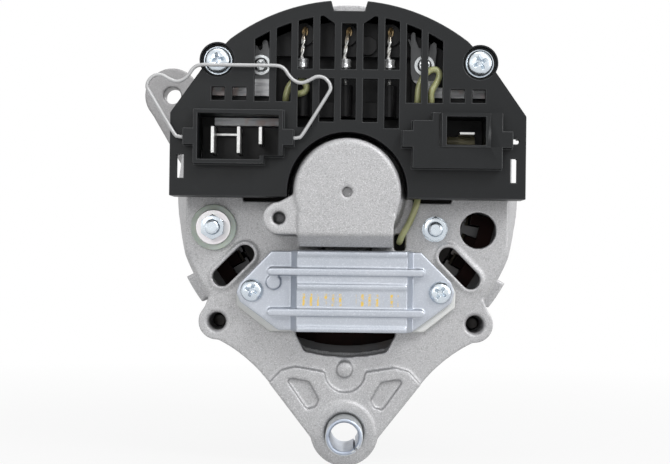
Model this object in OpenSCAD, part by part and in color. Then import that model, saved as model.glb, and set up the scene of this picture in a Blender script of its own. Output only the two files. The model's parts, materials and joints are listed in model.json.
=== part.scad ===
// Belt-driven alternator with its rectifier and regulator on the slip-ring end. Millimetres.
// X points right in the rear view, Y runs along the shaft towards the pulley, Z points up.
// The origin is on the shaft axis, in the middle plane of the belt groove.

/* [Stator] */
// Outer diameter of the laminated core
core_d = 124; // [122:0.5:126]
// Length of the laminated core
stack_len = 28; // [24:1:30]
// Bore of the core
bore_d = 89; // [87:0.5:91]
// Radial depth of a winding slot
slot_depth = 10.5; // [9:0.5:12]
// Width of a winding slot
slot_w = 4.6; // [4:0.1:5]
// Width of a slot's open mouth
slot_mouth = 2.4; // [2:0.1:3]
// Thickness of one layer of end turns
turn_layer = 2.6; // [2.2:0.2:3]

/* [Rotor] */
// Radial gap between the claws and the core
air_gap = 0.4; // [0.3:0.05:0.6]
// Length of the iron core between the two claw discs
field_core_len = 30; // [28:1:34]
// Thickness of a claw disc
claw_disc_t = 12; // [10:0.5:13]
// Diameter of the iron core inside the field coil
field_core_d = 48; // [44:1:50]
// Width of a claw at its root
claw_root_w = 17; // [15:0.5:18]
// Width of a claw at its tip
claw_tip_w = 8; // [6:0.5:9]
// Thickness of a claw at its root
claw_root_t = 8; // [6:0.5:8.5]
// Thickness of a claw at its tip
claw_tip_t = 4; // [3:0.5:5]
// Wall of the coil bobbin
bobbin_wall = 1.2; // [1:0.1:1.6]

/* [Shaft] */
// Diameter under the front bearing, the fan and the pulley
shaft_d = 17; // [16:0.5:17]
// Diameter under the rear bearing
shaft_rear_d = 15; // [14:0.5:16]
// Diameter inside the rotor
shaft_mid_d = 19; // [18.5:0.5:22]
// Diameter under the slip rings
shaft_tail_d = 12; // [10:0.5:13]
// Thread left showing in front of the nut
thread_show = 2; // [1:0.5:5]

/* [Bearings] */
// Outer diameter of the front bearing
front_od = 40; // [38:1:42]
// Width of the front bearing
front_w = 12; // [11:0.5:13]
// Outer diameter of the rear bearing
rear_od = 35; // [33:1:36]
// Width of the rear bearing
rear_w = 11; // [10:0.5:12]
// Balls in each bearing
ball_count = 8; // [6:1:8]
// Running clearance round a ball
ball_gap = 0.05; // [0.03:0.01:0.1]

/* [Slip rings] */
// Diameter of the slip rings
ring_d = 27; // [25:0.5:28]
// Width of a slip ring
ring_w = 4.8; // [4.4:0.1:5.2]
// Distance between the middles of the two slip rings
ring_pitch = 6.5; // [6:0.1:6.8]
// Distance from the rear face of the bracket to the middle of the inner ring
ring_offset = 0.7; // [0.5:0.1:1.2]
// Outer diameter of the insulating sleeve
ring_sleeve_d = 20; // [18:0.5:22]

/* [Brushes] */
// Thickness of a brush along the shaft
brush_t = 4.4; // [4:0.1:4.8]
// Width of a brush across the shaft
brush_w = 6.5; // [6:0.1:7.5]
// Length of a new brush
brush_len = 16; // [14:0.5:18]
// Gap between a brush and its guide
brush_gap = 0.15; // [0.1:0.05:0.2]
// Wall of the brush holder
brush_wall = 1; // [0.8:0.1:1]

/* [Pulley and fan] */
// Outer diameter of the pulley
pulley_d = 68; // [64:1:74]
// Width of the pulley
pulley_w = 18; // [17:0.5:22]
// Width of the belt groove at its mouth
groove_w = 11; // [10:0.5:12]
// Depth of the belt groove
groove_depth = 12; // [10:0.5:12]
// Outer diameter of the fan
fan_d = 118; // [110:1:120]
// Thickness of the fan sheet
fan_t = 1.5; // [1.2:0.1:2]
// Height of the fan blades
blade_h = 9.5; // [8:0.5:10]
// Number of fan blades
blade_count = 11; // [9:1:13]
// Length of the spacer between the pulley and the fan
spacer_len = 3; // [2:0.5:5]
// Distance from the fan sheet to the front bearing
collar_len = 13.5; // [12.5:0.5:15]
// Across flats of the pulley nut
nut_af = 24; // [22:1:27]
// Height of the pulley nut
nut_h = 9; // [8:0.5:11]

/* [Housing] */
// Radius of the rim that clamps the core
rim_r = 64; // [63.5:0.25:65]
// Overlap of each bracket on the core
core_grip = 4; // [3:0.5:5]
// Length from the core to the rear face of the rear bracket
rear_len = 31; // [30:0.5:32]
// Radius of the rear bracket's body
body_r = 62.8; // [62.5:0.1:63.2]
// Half width between the flats at the rear face
flat_half_w = 58.2; // [57.5:0.1:60]
// Wall of the castings
cast_wall = 3.5; // [3:0.25:4]
// Radius of the circle that the four through bolts stand on
bolt_circle_r = 66; // [65.5:0.25:66.5]
// Radius of the lobes round the through bolts
lobe_r = 6.7; // [6.2:0.1:7.2]
// Diameter of the through bolts
bolt_d = 5; // [5:0.5:6]
// Diameter of the open bolt holes in the rear bracket
bolt_hole_d = 6.4; // [6:0.1:6.6]
// Depth of the bolt tips below the rear face
bolt_tip_depth = 16; // [14:0.5:19]

/* [Slip-ring dome] */
// Radius of the dome over the slip rings
dome_r = 19; // [18.5:0.25:20]
// Height of the dome above the rear face
dome_h = 22; // [21:0.5:24]
// Radius of the space inside the dome
dome_bore_r = 15.2; // [14.8:0.1:15.5]
// Depth of the solid end of the dome
dome_end = 3.5; // [3:0.5:5]

/* [Pivot foot] */
// Distance from the shaft axis down to the pivot bolt
pivot_drop = 86; // [82:1:90]
// Radius of the pivot boss
pivot_boss_r = 12.3; // [11.5:0.1:13]
// Length of the pivot boss
pivot_boss_len = 20; // [16:1:24]
// Outer diameter of the split sleeve
sleeve_d = 13.2; // [13:0.2:14.6]
// Bore of the split sleeve
sleeve_bore = 10.2; // [10:0.1:10.8]
// Length of the split sleeve
sleeve_len = 36; // [30:1:40]
// How far the sleeve stands out behind the rear face
sleeve_out = 20; // [16:0.5:22]
// Width of the slit in the sleeve
sleeve_slit = 1; // [0.6:0.1:1.4]

/* [Adjuster ear] */
// Place of the adjuster hole, to the left of the shaft
ear_x = -70.5; // [-74:0.5:-70]
// Place of the adjuster hole, above the shaft
ear_z = 40.6; // [38:0.2:42]
// Diameter of the adjuster hole
ear_hole_d = 6.8; // [6.6:0.1:8.4]
// Radius of the ear round the hole
ear_r = 11; // [10:0.5:12]
// Thickness of the ear
ear_t = 14; // [10:1:16]

/* [Rectifier cover] */
// Depth of the cover behind the rear face
cover_depth = 18; // [17:0.5:20]
// Wall of the cover
cover_wall = 2.2; // [1.8:0.1:2.4]
// Radius of the cover's round top
cover_r = 69.2; // [68.5:0.1:70]
// Half width of the cover
cover_half_w = 62.8; // [62:0.1:63.5]
// Gap between the cover's arch and the dome
arch_gap = 2.2; // [1.5:0.1:3]
// Width of a grille bar
bar_w = 2.55; // [2:0.05:3]
// Distance between grille bars
bar_pitch = 7.65; // [7.2:0.05:7.8]
// Height of the plug sockets above the cover
socket_h = 6; // [5:0.5:7]
// Wall of the plug sockets
socket_wall = 1.6; // [1.3:0.1:1.8]
// Radius of the recess for a cover screw
screw_seat_r = 5.9; // [5.6:0.1:6.1]
// Depth of that recess
screw_seat_depth = 3; // [2:0.5:4]

/* [Plug blades] */
// Width of a large blade
blade_wide = 9.5; // [9:0.1:9.8]
// Width of the small blade
blade_small = 6.3; // [6:0.1:6.6]
// Thickness of a blade
blade_t = 1.2; // [0.8:0.1:1.3]
// Distance from the socket rim to the blade tips
blade_sunk = 5; // [4:0.5:7]

/* [Wire bail] */
// Diameter of the bail's wire
wire_d = 1.3; // [1.1:0.1:1.5]
// Running clearance round its ends
wire_gap = 0.08; // [0.05:0.01:0.1]

/* [Regulator] */
// Height of the regulator above the rear face
reg_h = 13; // [12:0.5:14]
// Thickness of its insulating base
reg_base_t = 4; // [3:0.5:4.5]
// Thickness of its flange
reg_flange_t = 2.5; // [2:0.25:3]
// Wall of its cover
reg_wall = 1.9; // [1.5:0.1:2]
// Width of the long ribs
rib_w = 2.6; // [2:0.1:3]

/* [Terminals and rectifier] */
// Diameter of the large terminal stud
w_stud_d = 5; // [5:0.5:6]
// Across flats of its nut
w_nut_af = 8; // [8:0.5:11]
// Radius of its insulating washer
w_insulator_r = 8.2; // [7.8:0.1:8.6]
// Diameter of the small terminal stud
e_stud_d = 5; // [4.5:0.5:5]
// Across flats of its nut
e_nut_af = 8; // [8:0.5:9]
// Thickness of a heat sink plate
sink_t = 2.5; // [2:0.25:3]
// Gap between the two heat sink plates
sink_gap = 3; // [2.5:0.25:3.5]
// Radius of a power diode
diode_r = 4.2; // [3.8:0.1:4.4]

/* [Hidden] */
$fn = 72;

// A hair of clearance between pieces that are pressed or bolted together
seat = 0.02;
// Amount by which a cutting tool passes through what it cuts
over = 1;

// Stations along the shaft, from the belt plane backwards
pulley_back = -pulley_w / 2;
pulley_front = pulley_w / 2;
fan_front = pulley_back - spacer_len;
fan_back = fan_front - fan_t;
bearing_front = fan_back - collar_len;
bearing_inside = bearing_front - front_w;
nose_y = bearing_front + 1.5;
retainer_t = 1.5;
claw_front = bearing_inside - 4;
core_mid = claw_front - claw_disc_t - field_core_len / 2;
claw_rear = core_mid - field_core_len / 2 - claw_disc_t;
stack_front = core_mid + stack_len / 2;
stack_rear = core_mid - stack_len / 2;
rear_y = stack_rear - rear_len;
rear_seat_back = rear_y + cast_wall + 1.2;
rear_bearing_back = rear_seat_back;
rear_bearing_front = rear_bearing_back + rear_w;

core_r = core_d / 2;
bore_r = bore_d / 2;
rotor_r = bore_r - air_gap;
slot_count = 36;
slot_step = 360 / slot_count;
claw_count = 6;
claw_step = 360 / claw_count;
bolt_angles = [45, 135, 225, 315];
upper_bolts = [45, 135];

// End turns: necks at the slots, arcs outside them, one layer for each phase
bar_r0 = bore_r + 2.4;
bar_r1 = bore_r + slot_depth - 0.4;
neck_r1 = bar_r0 + 3.4;
arc_r0 = neck_r1 + 0.4;
arc_r1 = core_r - 6;
first_layer = 1.5;
layer_pitch = turn_layer + 0.3;
turns_reach = first_layer + 2 * layer_pitch + turn_layer;

// Draws in X and Z and makes it solid from y0 up to y1
module along(y0, y1) translate([0, y1, 0]) rotate([90, 0, 0]) linear_extrude(y1 - y0) children();

// A turned shape, from a profile of radius and y
module turned(profile) rotate([-90, 0, 0]) rotate_extrude() polygon(profile);

// A round bar along the shaft's direction
module rod(r, y0, y1, at = [0, 0])
    translate([at[0], y0, at[1]]) rotate([-90, 0, 0]) cylinder(r = r, h = y1 - y0);

// The cutter for a hole's chamfered mouth in a face at y
module mouth(r, size, y, at) translate([at[0], y, at[1]])
    turned([[0, -over], [r + size + over, -over], [r, size], [0, size]]);

// Turns its children from the X axis to an angle in the rear view
module at_angle(a) rotate([0, -a, 0]) children();

// A round hole or disc in a drawing
module spot(at, r) translate(at) circle(r = r);

// A slot with round ends in a drawing
module slot2d(p, q, r) {
    across = [p[1] - q[1], q[0] - p[0]] * r / norm(q - p);
    spot(p, r);
    spot(q, r);
    polygon([p + across, p - across, q - across, q + across]);
}

// A polygon grown by r, with round corners
module rounded2d(pts, r) {
    polygon(pts);
    for (i = [0:len(pts) - 1]) slot2d(pts[i], pts[(i + 1) % len(pts)], r);
}

// A wedge from the shaft axis between two angles, out to radius r
module wedge2d(a0, a1, r) {
    mid = (a0 + a1) / 2;
    far = r / cos((a1 - a0) / 2) * 1.05;
    polygon([[0, 0], far * [cos(a0), sin(a0)], far * 1.2 * [cos(mid), sin(mid)],
        far * [cos(a1), sin(a1)]]);
}

// A piece of a flat ring between two radii and two angles
module sector2d(r0, r1, a0, a1) intersection() {
    difference() { circle(r = r1); circle(r = r0); }
    wedge2d(a0, a1, r1);
}

// A block given by its lowest and highest corners
module block(low, high) translate(low) cube(high - low);

// A six-sided nut with its corners turned off
module hex_nut(af, y0, y1, at, bore_r) {
    corner = af / sqrt(3);
    cut = corner - af / 2;
    translate([at[0], 0, at[1]]) difference() {
        intersection() {
            translate([0, y0, 0]) rotate([-90, 30, 0]) cylinder(r = corner, h = y1 - y0, $fn = 6);
            turned([[0, y0], [af / 2 - 0.1, y0], [corner + 0.1, y0 + cut * 0.6],
                [corner + 0.1, y1 - cut * 0.6], [af / 2 - 0.1, y1], [0, y1]]);
        }
        rod(bore_r, y0 - over, y1 + over);
    }
}

// A round-headed screw whose head points to the rear, with its cross recess
module cross_screw(at, head_r, head_h, seat_y, shank_r, tip_y) {
    arm = head_r * 0.62;
    translate([at[0], 0, at[1]]) difference() {
        union() {
            turned([[0, seat_y - head_h], [head_r * 0.55, seat_y - head_h],
                [head_r * 0.88, seat_y - head_h * 0.68], [head_r, seat_y - head_h * 0.25],
                [head_r, seat_y], [0, seat_y]]);
            rod(shank_r, seat_y - 0.01, tip_y);
        }
        for (a = [20, 110]) at_angle(a)
            block([-arm, seat_y - head_h - over, -0.45], [arm, seat_y - head_h * 0.45, 0.45]);
    }
}

function mirrored(pts) = [for (i = [len(pts) - 1:-1:0]) [-pts[i][0], pts[i][1]]];
function polar(r, a) = r * [cos(a), sin(a)];
function bolt_at(a) = polar(bolt_circle_r, a);

// Housing

core_fit = core_r + seat;
boss_back = rear_y + bolt_tip_depth;

// The body is round, with flats that lean in towards the rear face
flat_run = 24;
module flats(inset, y1) {
    w0 = flat_half_w - inset;
    w1 = rim_r - inset;
    far = rim_r + over;
    y2 = rear_y + flat_run;
    translate([0, 0, -far]) linear_extrude(2 * far)
        polygon([[-w0, rear_y - 2 * over], [w0, rear_y - 2 * over], [w0, rear_y], [w1, y2],
            [far, y2 + over], [far, y1], [-far, y1], [-far, y2 + over], [-w1, y2], [-w0, rear_y]]);
}

// One lobe that carries a through bolt, blended into the round body
module lobe2d(a, reach) {
    root = lobe_r * 1.45;
    rotate(a) {
        spot([bolt_circle_r, 0], lobe_r);
        polygon([[reach, root], [reach, -root], [bolt_circle_r, -lobe_r], [bolt_circle_r, lobe_r]]);
    }
}

// The foot: straight flanks to the pivot boss, hollow curves up to the lobes
leg_hip = [27.6, 17.6 - pivot_drop];
leg_ankle = [10.2, -pivot_drop - 4.6];
leg_curve_r = 54;
leg_dir = (leg_ankle - leg_hip) / norm(leg_ankle - leg_hip);
leg_curve_at = leg_hip + leg_curve_r * [-leg_dir[1], leg_dir[0]];
module leg2d() difference() {
    union() {
        polygon(concat([[0, -body_r + 6], [43, -body_r + 24], [49, -body_r + 11], leg_hip, leg_ankle],
            mirrored([[43, -body_r + 24], [49, -body_r + 11], leg_hip, leg_ankle])));
        spot([0, -pivot_drop], pivot_boss_r);
    }
    for (s = [-1, 1]) spot([s * leg_curve_at[0], leg_curve_at[1]], leg_curve_r);
}

// Raised frame on the foot, with a round bay under the opening and two hollow pockets
bay_z = 22.4 - pivot_drop;
bay_r = 7.4;
frame_raise = 1.8;
pocket_edge_r = 1.2;
pocket = [[19.3, 18 - pivot_drop], [13.7, 17 - pivot_drop], [10.6, 11.5 - pivot_drop],
    [11.3, 9.9 - pivot_drop], [13.2, 9.4 - pivot_drop]];
module leg_frame2d() difference() {
    intersection() {
        leg2d();
        polygon(concat([[23, bay_z - 0.3], [18, bay_z + 0.9], [bay_r, bay_z - 0.8],
            [-bay_r, bay_z - 0.8], [-18, bay_z + 0.9], [-23, bay_z - 0.3]],
            [[-30, leg_hip[1] - 3], [-20, -pivot_drop - 20], [20, -pivot_drop - 20], [30, leg_hip[1] - 3]]));
    }
    spot([0, bay_z - 0.8], bay_r);
    rounded2d(pocket, pocket_edge_r);
    rounded2d(mirrored(pocket), pocket_edge_r);
}

// The dome's outline: round above, straight below, with a drilled ear on its left
dome_foot_z = -15.1;
dome_slope_z = -19.3;
ear_hole_at = [-23.9, -9.4];
dome_ear_r = 5.7;
dome_y = rear_y - dome_h;
module dome2d(foot_z) {
    spot([0, 0], dome_r);
    polygon([[-dome_r + 1.6, -6], [dome_r - 0.6, -5], [dome_r - 2.5, -11.5],
        [dome_r - 2.7, foot_z], [-dome_r + 2, foot_z]]);
}
module dome_ear2d() {
    spot(ear_hole_at, dome_ear_r);
    polygon([ear_hole_at + [0, dome_ear_r], ear_hole_at - [0, dome_ear_r], [-6, dome_foot_z],
        [-6, 0], [-dome_r + 2, 0]]);
}

// Slots and holes through the rear face
vent_low = [45, -30.6];
vent_high = [36.8, -22.3];
vent_r = 3.4;
terminal_hole_at = [47.5, -12.7];
terminal_hole_r = 6.5;
w_at = [-48.1, -12.7];
e_at = [31.8, -12.5];
w_hole_r = w_stud_d / 2 + 1.5;
opening_half_w = 17.9;
opening_r = 58.9;
reg_window_w = 17;
reg_screw_at = [33.7, -35.2];
window_foot_z = -3.1;
tail_pocket = [17.2, -20.4];

module low_opening2d() intersection() {
    circle(r = opening_r);
    polygon([[-opening_half_w, -43], [-opening_half_w, -51.1], [-15.2, -56.4], [-12, -62],
        [12, -62], [15.2, -56.4], [opening_half_w, -51.1], [opening_half_w, -43]]);
}

module rear_holes2d() {
    low_opening2d();
    translate([-reg_window_w / 2, -44]) square([reg_window_w, 22]);
    for (s = [-1, 1]) slot2d([s * vent_low[0], vent_low[1]], [s * vent_high[0], vent_high[1]], vent_r);
    spot(terminal_hole_at, terminal_hole_r);
    spot(w_at, w_hole_r);
    spot(e_at, e_stud_d / 2 + seat);
    // Windows behind the rectifier, whose lower edges show under the cover
    translate([-37.7, window_foot_z]) square([17.9, 20.3]);
    translate([23.9, window_foot_z]) square([13.9, 20.3]);
    translate(tail_pocket) square([3.9, 5.9]);
}

hub_r = rear_od / 2 + 4;
module rear_hub() {
    rod(hub_r, rear_y + 1, rear_bearing_front + 0.5);
    for (a = [0, 60, 120, 180, 240, 300]) at_angle(a)
        block([hub_r - 1, rear_y + 1, -1.5],
            [a % 180 == 0 ? flat_half_w - 1 : body_r - 2, rear_y + cast_wall + 5, 1.5]);
}

shelf_r = 68.4;
module rear_bracket() color([0.68, 0.69, 0.7]) difference() {
    union() {
        // Shell: round body, rim over the core
        difference() {
            intersection() {
                turned([[0, rear_y], [body_r - 1.5, rear_y], [body_r, rear_y + 1.5],
                    [body_r, stack_rear - 5], [rim_r, stack_rear - 3.5],
                    [rim_r, stack_rear + core_grip], [0, stack_rear + core_grip]]);
                flats(0, stack_rear + core_grip + over);
            }
            intersection() {
                turned([[0, rear_y + cast_wall], [body_r - cast_wall - 3, rear_y + cast_wall],
                    [body_r - cast_wall, rear_y + cast_wall + 3], [body_r - cast_wall, stack_rear],
                    [core_fit, stack_rear], [core_fit, stack_rear + core_grip + over],
                    [0, stack_rear + core_grip + over]]);
                flats(cast_wall, stack_rear + core_grip + 2 * over);
            }
        }
        // Four bolt lobes
        for (a = bolt_angles) along(rear_y, stack_rear + core_grip) difference() {
            lobe2d(a, body_r - 4);
            circle(r = core_fit);
        }
        // Two pads on the rim beside the lower bolts
        for (a = [[207.5, 217], [322, 331.5]]) along(stack_rear - 13, stack_rear + core_grip)
            sector2d(core_fit, rim_r + 3, a[0], a[1]);
        // Crescent shelf that the cover's skirt closes on
        along(rear_y, rear_y + 9) sector2d(body_r - 1.5, shelf_r, 58, 122);
        // Foot with a boss for the pivot sleeve
        along(rear_y, rear_y + cast_wall + 2) difference() {
            leg2d();
            circle(r = body_r - 4);
        }
        along(rear_y, rear_y + pivot_boss_len) difference() {
            leg2d();
            circle(r = body_r - 2.5);
            offset_leg_pocket2d();
        }
        along(rear_y - frame_raise, rear_y + 0.5) leg_frame2d();
        rod(pivot_boss_r - 1.5, rear_y - frame_raise - 0.6, rear_y, [0, -pivot_drop]);
        rod(pivot_boss_r, rear_y - frame_raise, rear_y + pivot_boss_len, [0, -pivot_drop]);
        // Raised rims round the slots, a round button above the foot
        for (s = [-1, 1]) along(rear_y - 0.7, rear_y + 0.5)
            slot2d([s * vent_low[0], vent_low[1]], [s * vent_high[0], vent_high[1]], vent_r + 1.3);
        rod(2.8, rear_y - 0.8, rear_y + 0.5, [0, bay_z + 0.6]);
        rear_hub();
        // Dome over the slip rings
        intersection() {
            along(dome_y, rear_y + 1) dome2d(dome_slope_z);
            union() {
                turned([[0, dome_y], [dome_r - 1.2, dome_y], [dome_r, dome_y + 1.2],
                    [dome_r + 9, rear_y + 1], [0, rear_y + 1]]);
                block([-dome_r, dome_y, dome_slope_z - 1], [dome_r, rear_y + 1, -8]);
            }
            // The foot of the dome slopes down from its face
            rotate([90, 0, 90]) translate([0, 0, -dome_r - over]) linear_extrude(2 * (dome_r + over))
                polygon([[dome_y, dome_r + over], [dome_y, dome_foot_z], [dome_y + 6, dome_slope_z],
                    [rear_y + over, dome_slope_z], [rear_y + over, dome_r + over]]);
        }
        along(dome_y + 1.2, rear_y + 1) dome_ear2d();
        // Two low steps round the foot of the dome
        for (step = [[1.2, 6], [2, 2]]) intersection() {
            rod(dome_r + step[0], rear_y - step[1], rear_y + 1);
            block([-dome_r * 2, rear_y - 10, -12.5], [dome_r * 2, rear_y + 2, dome_r * 2]);
        }
    }
    // Space for the slip rings, and the small hole in the dome's end
    rod(dome_bore_r, dome_y + dome_end, rear_y + cast_wall + 2);
    rod(1.7, dome_y - over, dome_y + dome_end + over);
    rod(2.2, dome_y, rear_y - 8, ear_hole_at);
    mouth(2.2, 0.7, dome_y + 1.2, ear_hole_at);
    // Way in for the brush holder from below
    block([-reg_window_w / 2, rear_y - reg_h + 1.6, -24], [reg_window_w / 2, holder_front + 0.4, -8]);
    // Bearing seat with its shoulder
    rod(rear_od / 2 + seat, rear_seat_back, rear_bearing_front + over);
    along(rear_y - over, rear_y + cast_wall + over) rear_holes2d();
    for (s = [-1, 1])
        rod(1.6, rear_y - over, rear_y + cast_wall + over, [s * reg_screw_at[0], reg_screw_at[1]]);
    // Relief in the right flank and the rim, behind the slit in the cover
    translate([0, 0, 3]) linear_extrude(13.5) polygon([[59.3, rear_y - over], [61.5, rear_y + flat_run],
        [61.5, stack_rear - 1], [rim_r + 2 * over, stack_rear - 1], [rim_r + 2 * over, rear_y - over]]);
    along(stack_rear - 2, stack_rear + core_grip + over) sector2d(core_fit - 0.5, rim_r + over, 2.7, 15.5);
    // Bolt holes: wide from the rear face to the tips, then close to the thread
    for (a = bolt_angles) {
        rod(bolt_hole_d / 2, rear_y - 2 * over, boss_back + 0.5, bolt_at(a));
        rod(bolt_d / 2 + seat, boss_back, stack_rear + core_grip + over, bolt_at(a));
        mouth(bolt_hole_d / 2, 0.9, rear_y, bolt_at(a));
    }
    rod(sleeve_d / 2 + seat, rear_y - 5, rear_y + pivot_boss_len + over, [0, -pivot_drop]);
    rod(sleeve_d / 2 + 0.65, rear_y - 5, rear_y - 0.8, [0, -pivot_drop]);
}

// Hollow on the front side of the foot, which leaves a rib along each flank
module offset_leg_pocket2d() {
    rib = 4;
    polygon(concat([[0, -body_r - 1], [leg_hip[0] - rib - 3, -body_r - 1], [leg_hip[0] - rib - 4, leg_hip[1]],
        [9, -pivot_drop + pivot_boss_r - 1]],
        mirrored([[leg_hip[0] - rib - 3, -body_r - 1], [leg_hip[0] - rib - 4, leg_hip[1]],
        [9, -pivot_drop + pivot_boss_r - 1]])));
}

// Split spring sleeve in the foot
module pivot_sleeve() color([0.75, 0.77, 0.8]) {
    y0 = rear_y - sleeve_out;
    y1 = y0 + sleeve_len;
    edge = 0.5;
    translate([0, 0, -pivot_drop]) difference() {
        turned([[sleeve_bore / 2, y0 + edge], [sleeve_bore / 2 + edge, y0], [sleeve_d / 2 - edge, y0],
            [sleeve_d / 2, y0 + edge], [sleeve_d / 2, y1 - edge], [sleeve_d / 2 - edge, y1],
            [sleeve_bore / 2, y1]]);
        at_angle(-45) block([sleeve_bore / 2 - 2, y0 - over, -sleeve_slit / 2],
            [sleeve_d / 2 + over, y1 + over, sleeve_slit / 2]);
    }
}

// Front bracket: rim, coned shell with vents, bearing hub and the adjuster ear
front_rim_back = stack_front - core_grip;
shell_y = bearing_inside - 1;
cone_r = 38;
knee_r = 50.5;
shoulder_r = arc_r1 + 4;
shoulder_y = stack_front + turns_reach + 1.2;
front_boss_y = stack_front + 20;
front_hub_r = front_od / 2 + 6;
vent_in_r = front_hub_r + 6;
vent_out_r = 55;
ear_front = core_mid + 35;
module ear2d() {
    spot([ear_x, ear_z], ear_r);
    polygon([[ear_x + 4.3, ear_z + ear_r - 0.9], [-54, 32], [-60, 8], [-62.4, 6],
        [ear_x - ear_r + 0.3, ear_z - 3]]);
}
module front_bracket() color([0.66, 0.67, 0.68]) difference() {
    union() {
        difference() {
            turned([[0, nose_y], [front_hub_r - 1, nose_y], [front_hub_r + 1.5, nose_y - 2],
                [cone_r, shell_y + cast_wall + 3.5], [knee_r, shell_y + cast_wall - 1],
                [shoulder_r, shoulder_y + cast_wall * 0.8], [body_r, shoulder_y - 1.5],
                [body_r, stack_front + 5], [rim_r, stack_front + 3.5],
                [rim_r, front_rim_back], [0, front_rim_back]]);
            turned([[0, bearing_inside], [front_hub_r, bearing_inside], [front_hub_r, shell_y + 5.5],
                [cone_r - 1, shell_y + 3.5], [knee_r - 1.5, shell_y - 1],
                [shoulder_r - 2.5, shoulder_y], [body_r - cast_wall, shoulder_y - 3],
                [body_r - cast_wall, stack_front], [core_fit, stack_front],
                [core_fit, front_rim_back - over], [0, front_rim_back - over]]);
            // Twelve vents between radial ribs
            for (i = [0:11]) along(shoulder_y - over, nose_y + over)
                sector2d(vent_in_r, vent_out_r, i * 30 + 5.5, i * 30 + 24.5);
        }
        for (a = bolt_angles) along(front_rim_back, front_boss_y) difference() {
            lobe2d(a, body_r - 6);
            circle(r = core_fit);
        }
        along(ear_front - ear_t, ear_front) difference() {
            ear2d();
            circle(r = body_r - 2);
        }
    }
    rod(front_od / 2 + seat, bearing_inside - 2 * over, bearing_front);
    rod(collar_r + 0.4, bearing_front - over, nose_y + over);
    rod(ear_hole_d / 2, ear_front - ear_t - over, ear_front + over, [ear_x, ear_z]);
    for (a = bolt_angles) rod(bolt_d / 2 + 0.1, front_rim_back - over, front_boss_y + over, bolt_at(a));
    for (a = retainer_angles) rod(1.7, bearing_inside - 2 * over, nose_y - 3, polar(retainer_screw_r, a));
}

// Stator

module core2d() difference() {
    circle(r = core_r);
    circle(r = bore_r);
    for (i = [0:slot_count - 1]) rotate(i * slot_step) {
        translate([bore_r + 1.2, -slot_w / 2]) square([slot_depth - 1.2, slot_w]);
        translate([bore_r - 1, -slot_mouth / 2]) square([slot_depth / 2, slot_mouth]);
    }
}
module stator_core() color([0.42, 0.43, 0.45]) along(stack_rear, stack_front) core2d();

// One phase: bars in every third slot, joined at the ends by flat arcs in a layer of their own
module winding(phase) {
    low = first_layer + phase * layer_pitch;
    bar = slot_w / 2 - 0.4;
    reach = low + turn_layer;
    along(stack_rear - reach, stack_front + reach)
        for (i = [0:11]) rotate((3 * i + phase) * slot_step)
            translate([bar_r0, -bar]) square([neck_r1 - bar_r0, 2 * bar]);
    along(stack_rear, stack_front)
        for (i = [0:11]) rotate((3 * i + phase) * slot_step)
            translate([neck_r1 - 0.1, -bar]) square([bar_r1 - neck_r1 + 0.1, 2 * bar]);
    for (side = [0, 1]) {
        y0 = side == 0 ? stack_rear - reach : stack_front + low;
        along(y0, y0 + turn_layer) for (i = [0:5]) {
            a0 = (6 * i + 3 * side + phase) * slot_step;
            sector2d(arc_r0, arc_r1, a0 - 2, a0 + 3 * slot_step + 2);
            for (a = [a0, a0 + 3 * slot_step]) rotate(a)
                translate([neck_r1 - 0.1, -bar]) square([arc_r0 - neck_r1 + 0.6, 2 * bar]);
        }
    }
}
module winding_phase_a() color([0.62, 0.3, 0.14]) winding(0);
module winding_phase_b() color([0.65, 0.33, 0.16]) winding(1);
module winding_phase_c() color([0.6, 0.28, 0.13]) winding(2);

// Wedges that close the slots over the bars
module slot_wedges() color([0.85, 0.8, 0.65]) along(stack_rear - 0.8, stack_front + 0.8)
    for (i = [0:slot_count - 1]) rotate(i * slot_step)
        translate([bore_r + 1.3, -slot_w / 2 + 0.15]) square([0.9, slot_w - 0.3]);

module through_bolts() color([0.7, 0.7, 0.68]) for (a = bolt_angles) {
    rod(bolt_d / 2, boss_back - 0.5, front_boss_y + 0.5, bolt_at(a));
    hex_nut(8, front_boss_y, front_boss_y + 4, bolt_at(a), 0.01);
}

// Bearings: grooved rings, balls and a cage in each

front_ball_r = 3.2;
rear_ball_r = 2.9;
front_pitch_r = (front_od / 2 + shaft_d / 2) / 2;
rear_pitch_r = (rear_od / 2 + shaft_rear_d / 2) / 2;

module race(r0, r1, y0, y1, pitch_r, ball_r, $fn = 96) rotate([-90, 0, 0]) rotate_extrude()
    difference() {
        polygon([[r0, y0], [r1, y0], [r1, y1], [r0, y1]]);
        translate([pitch_r, (y0 + y1) / 2]) circle(r = ball_r + ball_gap);
    }
module balls(pitch_r, mid_y, r) for (i = [0:ball_count - 1])
    at_angle(i * 360 / ball_count + 10) translate([pitch_r, mid_y, 0]) sphere(r = r);
module cage(pitch_r, mid_y, r) difference() {
    half_w = r * 1.05;
    turned([[pitch_r - 0.8, mid_y - half_w], [pitch_r + 0.8, mid_y - half_w],
        [pitch_r + 0.8, mid_y + half_w], [pitch_r - 0.8, mid_y + half_w]]);
    for (i = [0:ball_count - 1]) at_angle(i * 360 / ball_count + 10)
        translate([pitch_r, mid_y, 0]) sphere(r = r + 0.08);
}
front_mid = bearing_front - front_w / 2;
rear_mid = rear_bearing_back + rear_w / 2;
module front_bearing_outer() color([0.6, 0.62, 0.64])
    race(front_pitch_r + 2, front_od / 2, bearing_inside, bearing_front, front_pitch_r, front_ball_r);
module front_bearing_inner() color([0.6, 0.62, 0.64])
    race(shaft_d / 2 + seat, front_pitch_r - 2, bearing_inside, bearing_front, front_pitch_r, front_ball_r);
module front_bearing_balls() color([0.8, 0.8, 0.82]) balls(front_pitch_r, front_mid, front_ball_r);
module front_bearing_cage() color([0.7, 0.65, 0.5]) cage(front_pitch_r, front_mid, front_ball_r);
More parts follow.
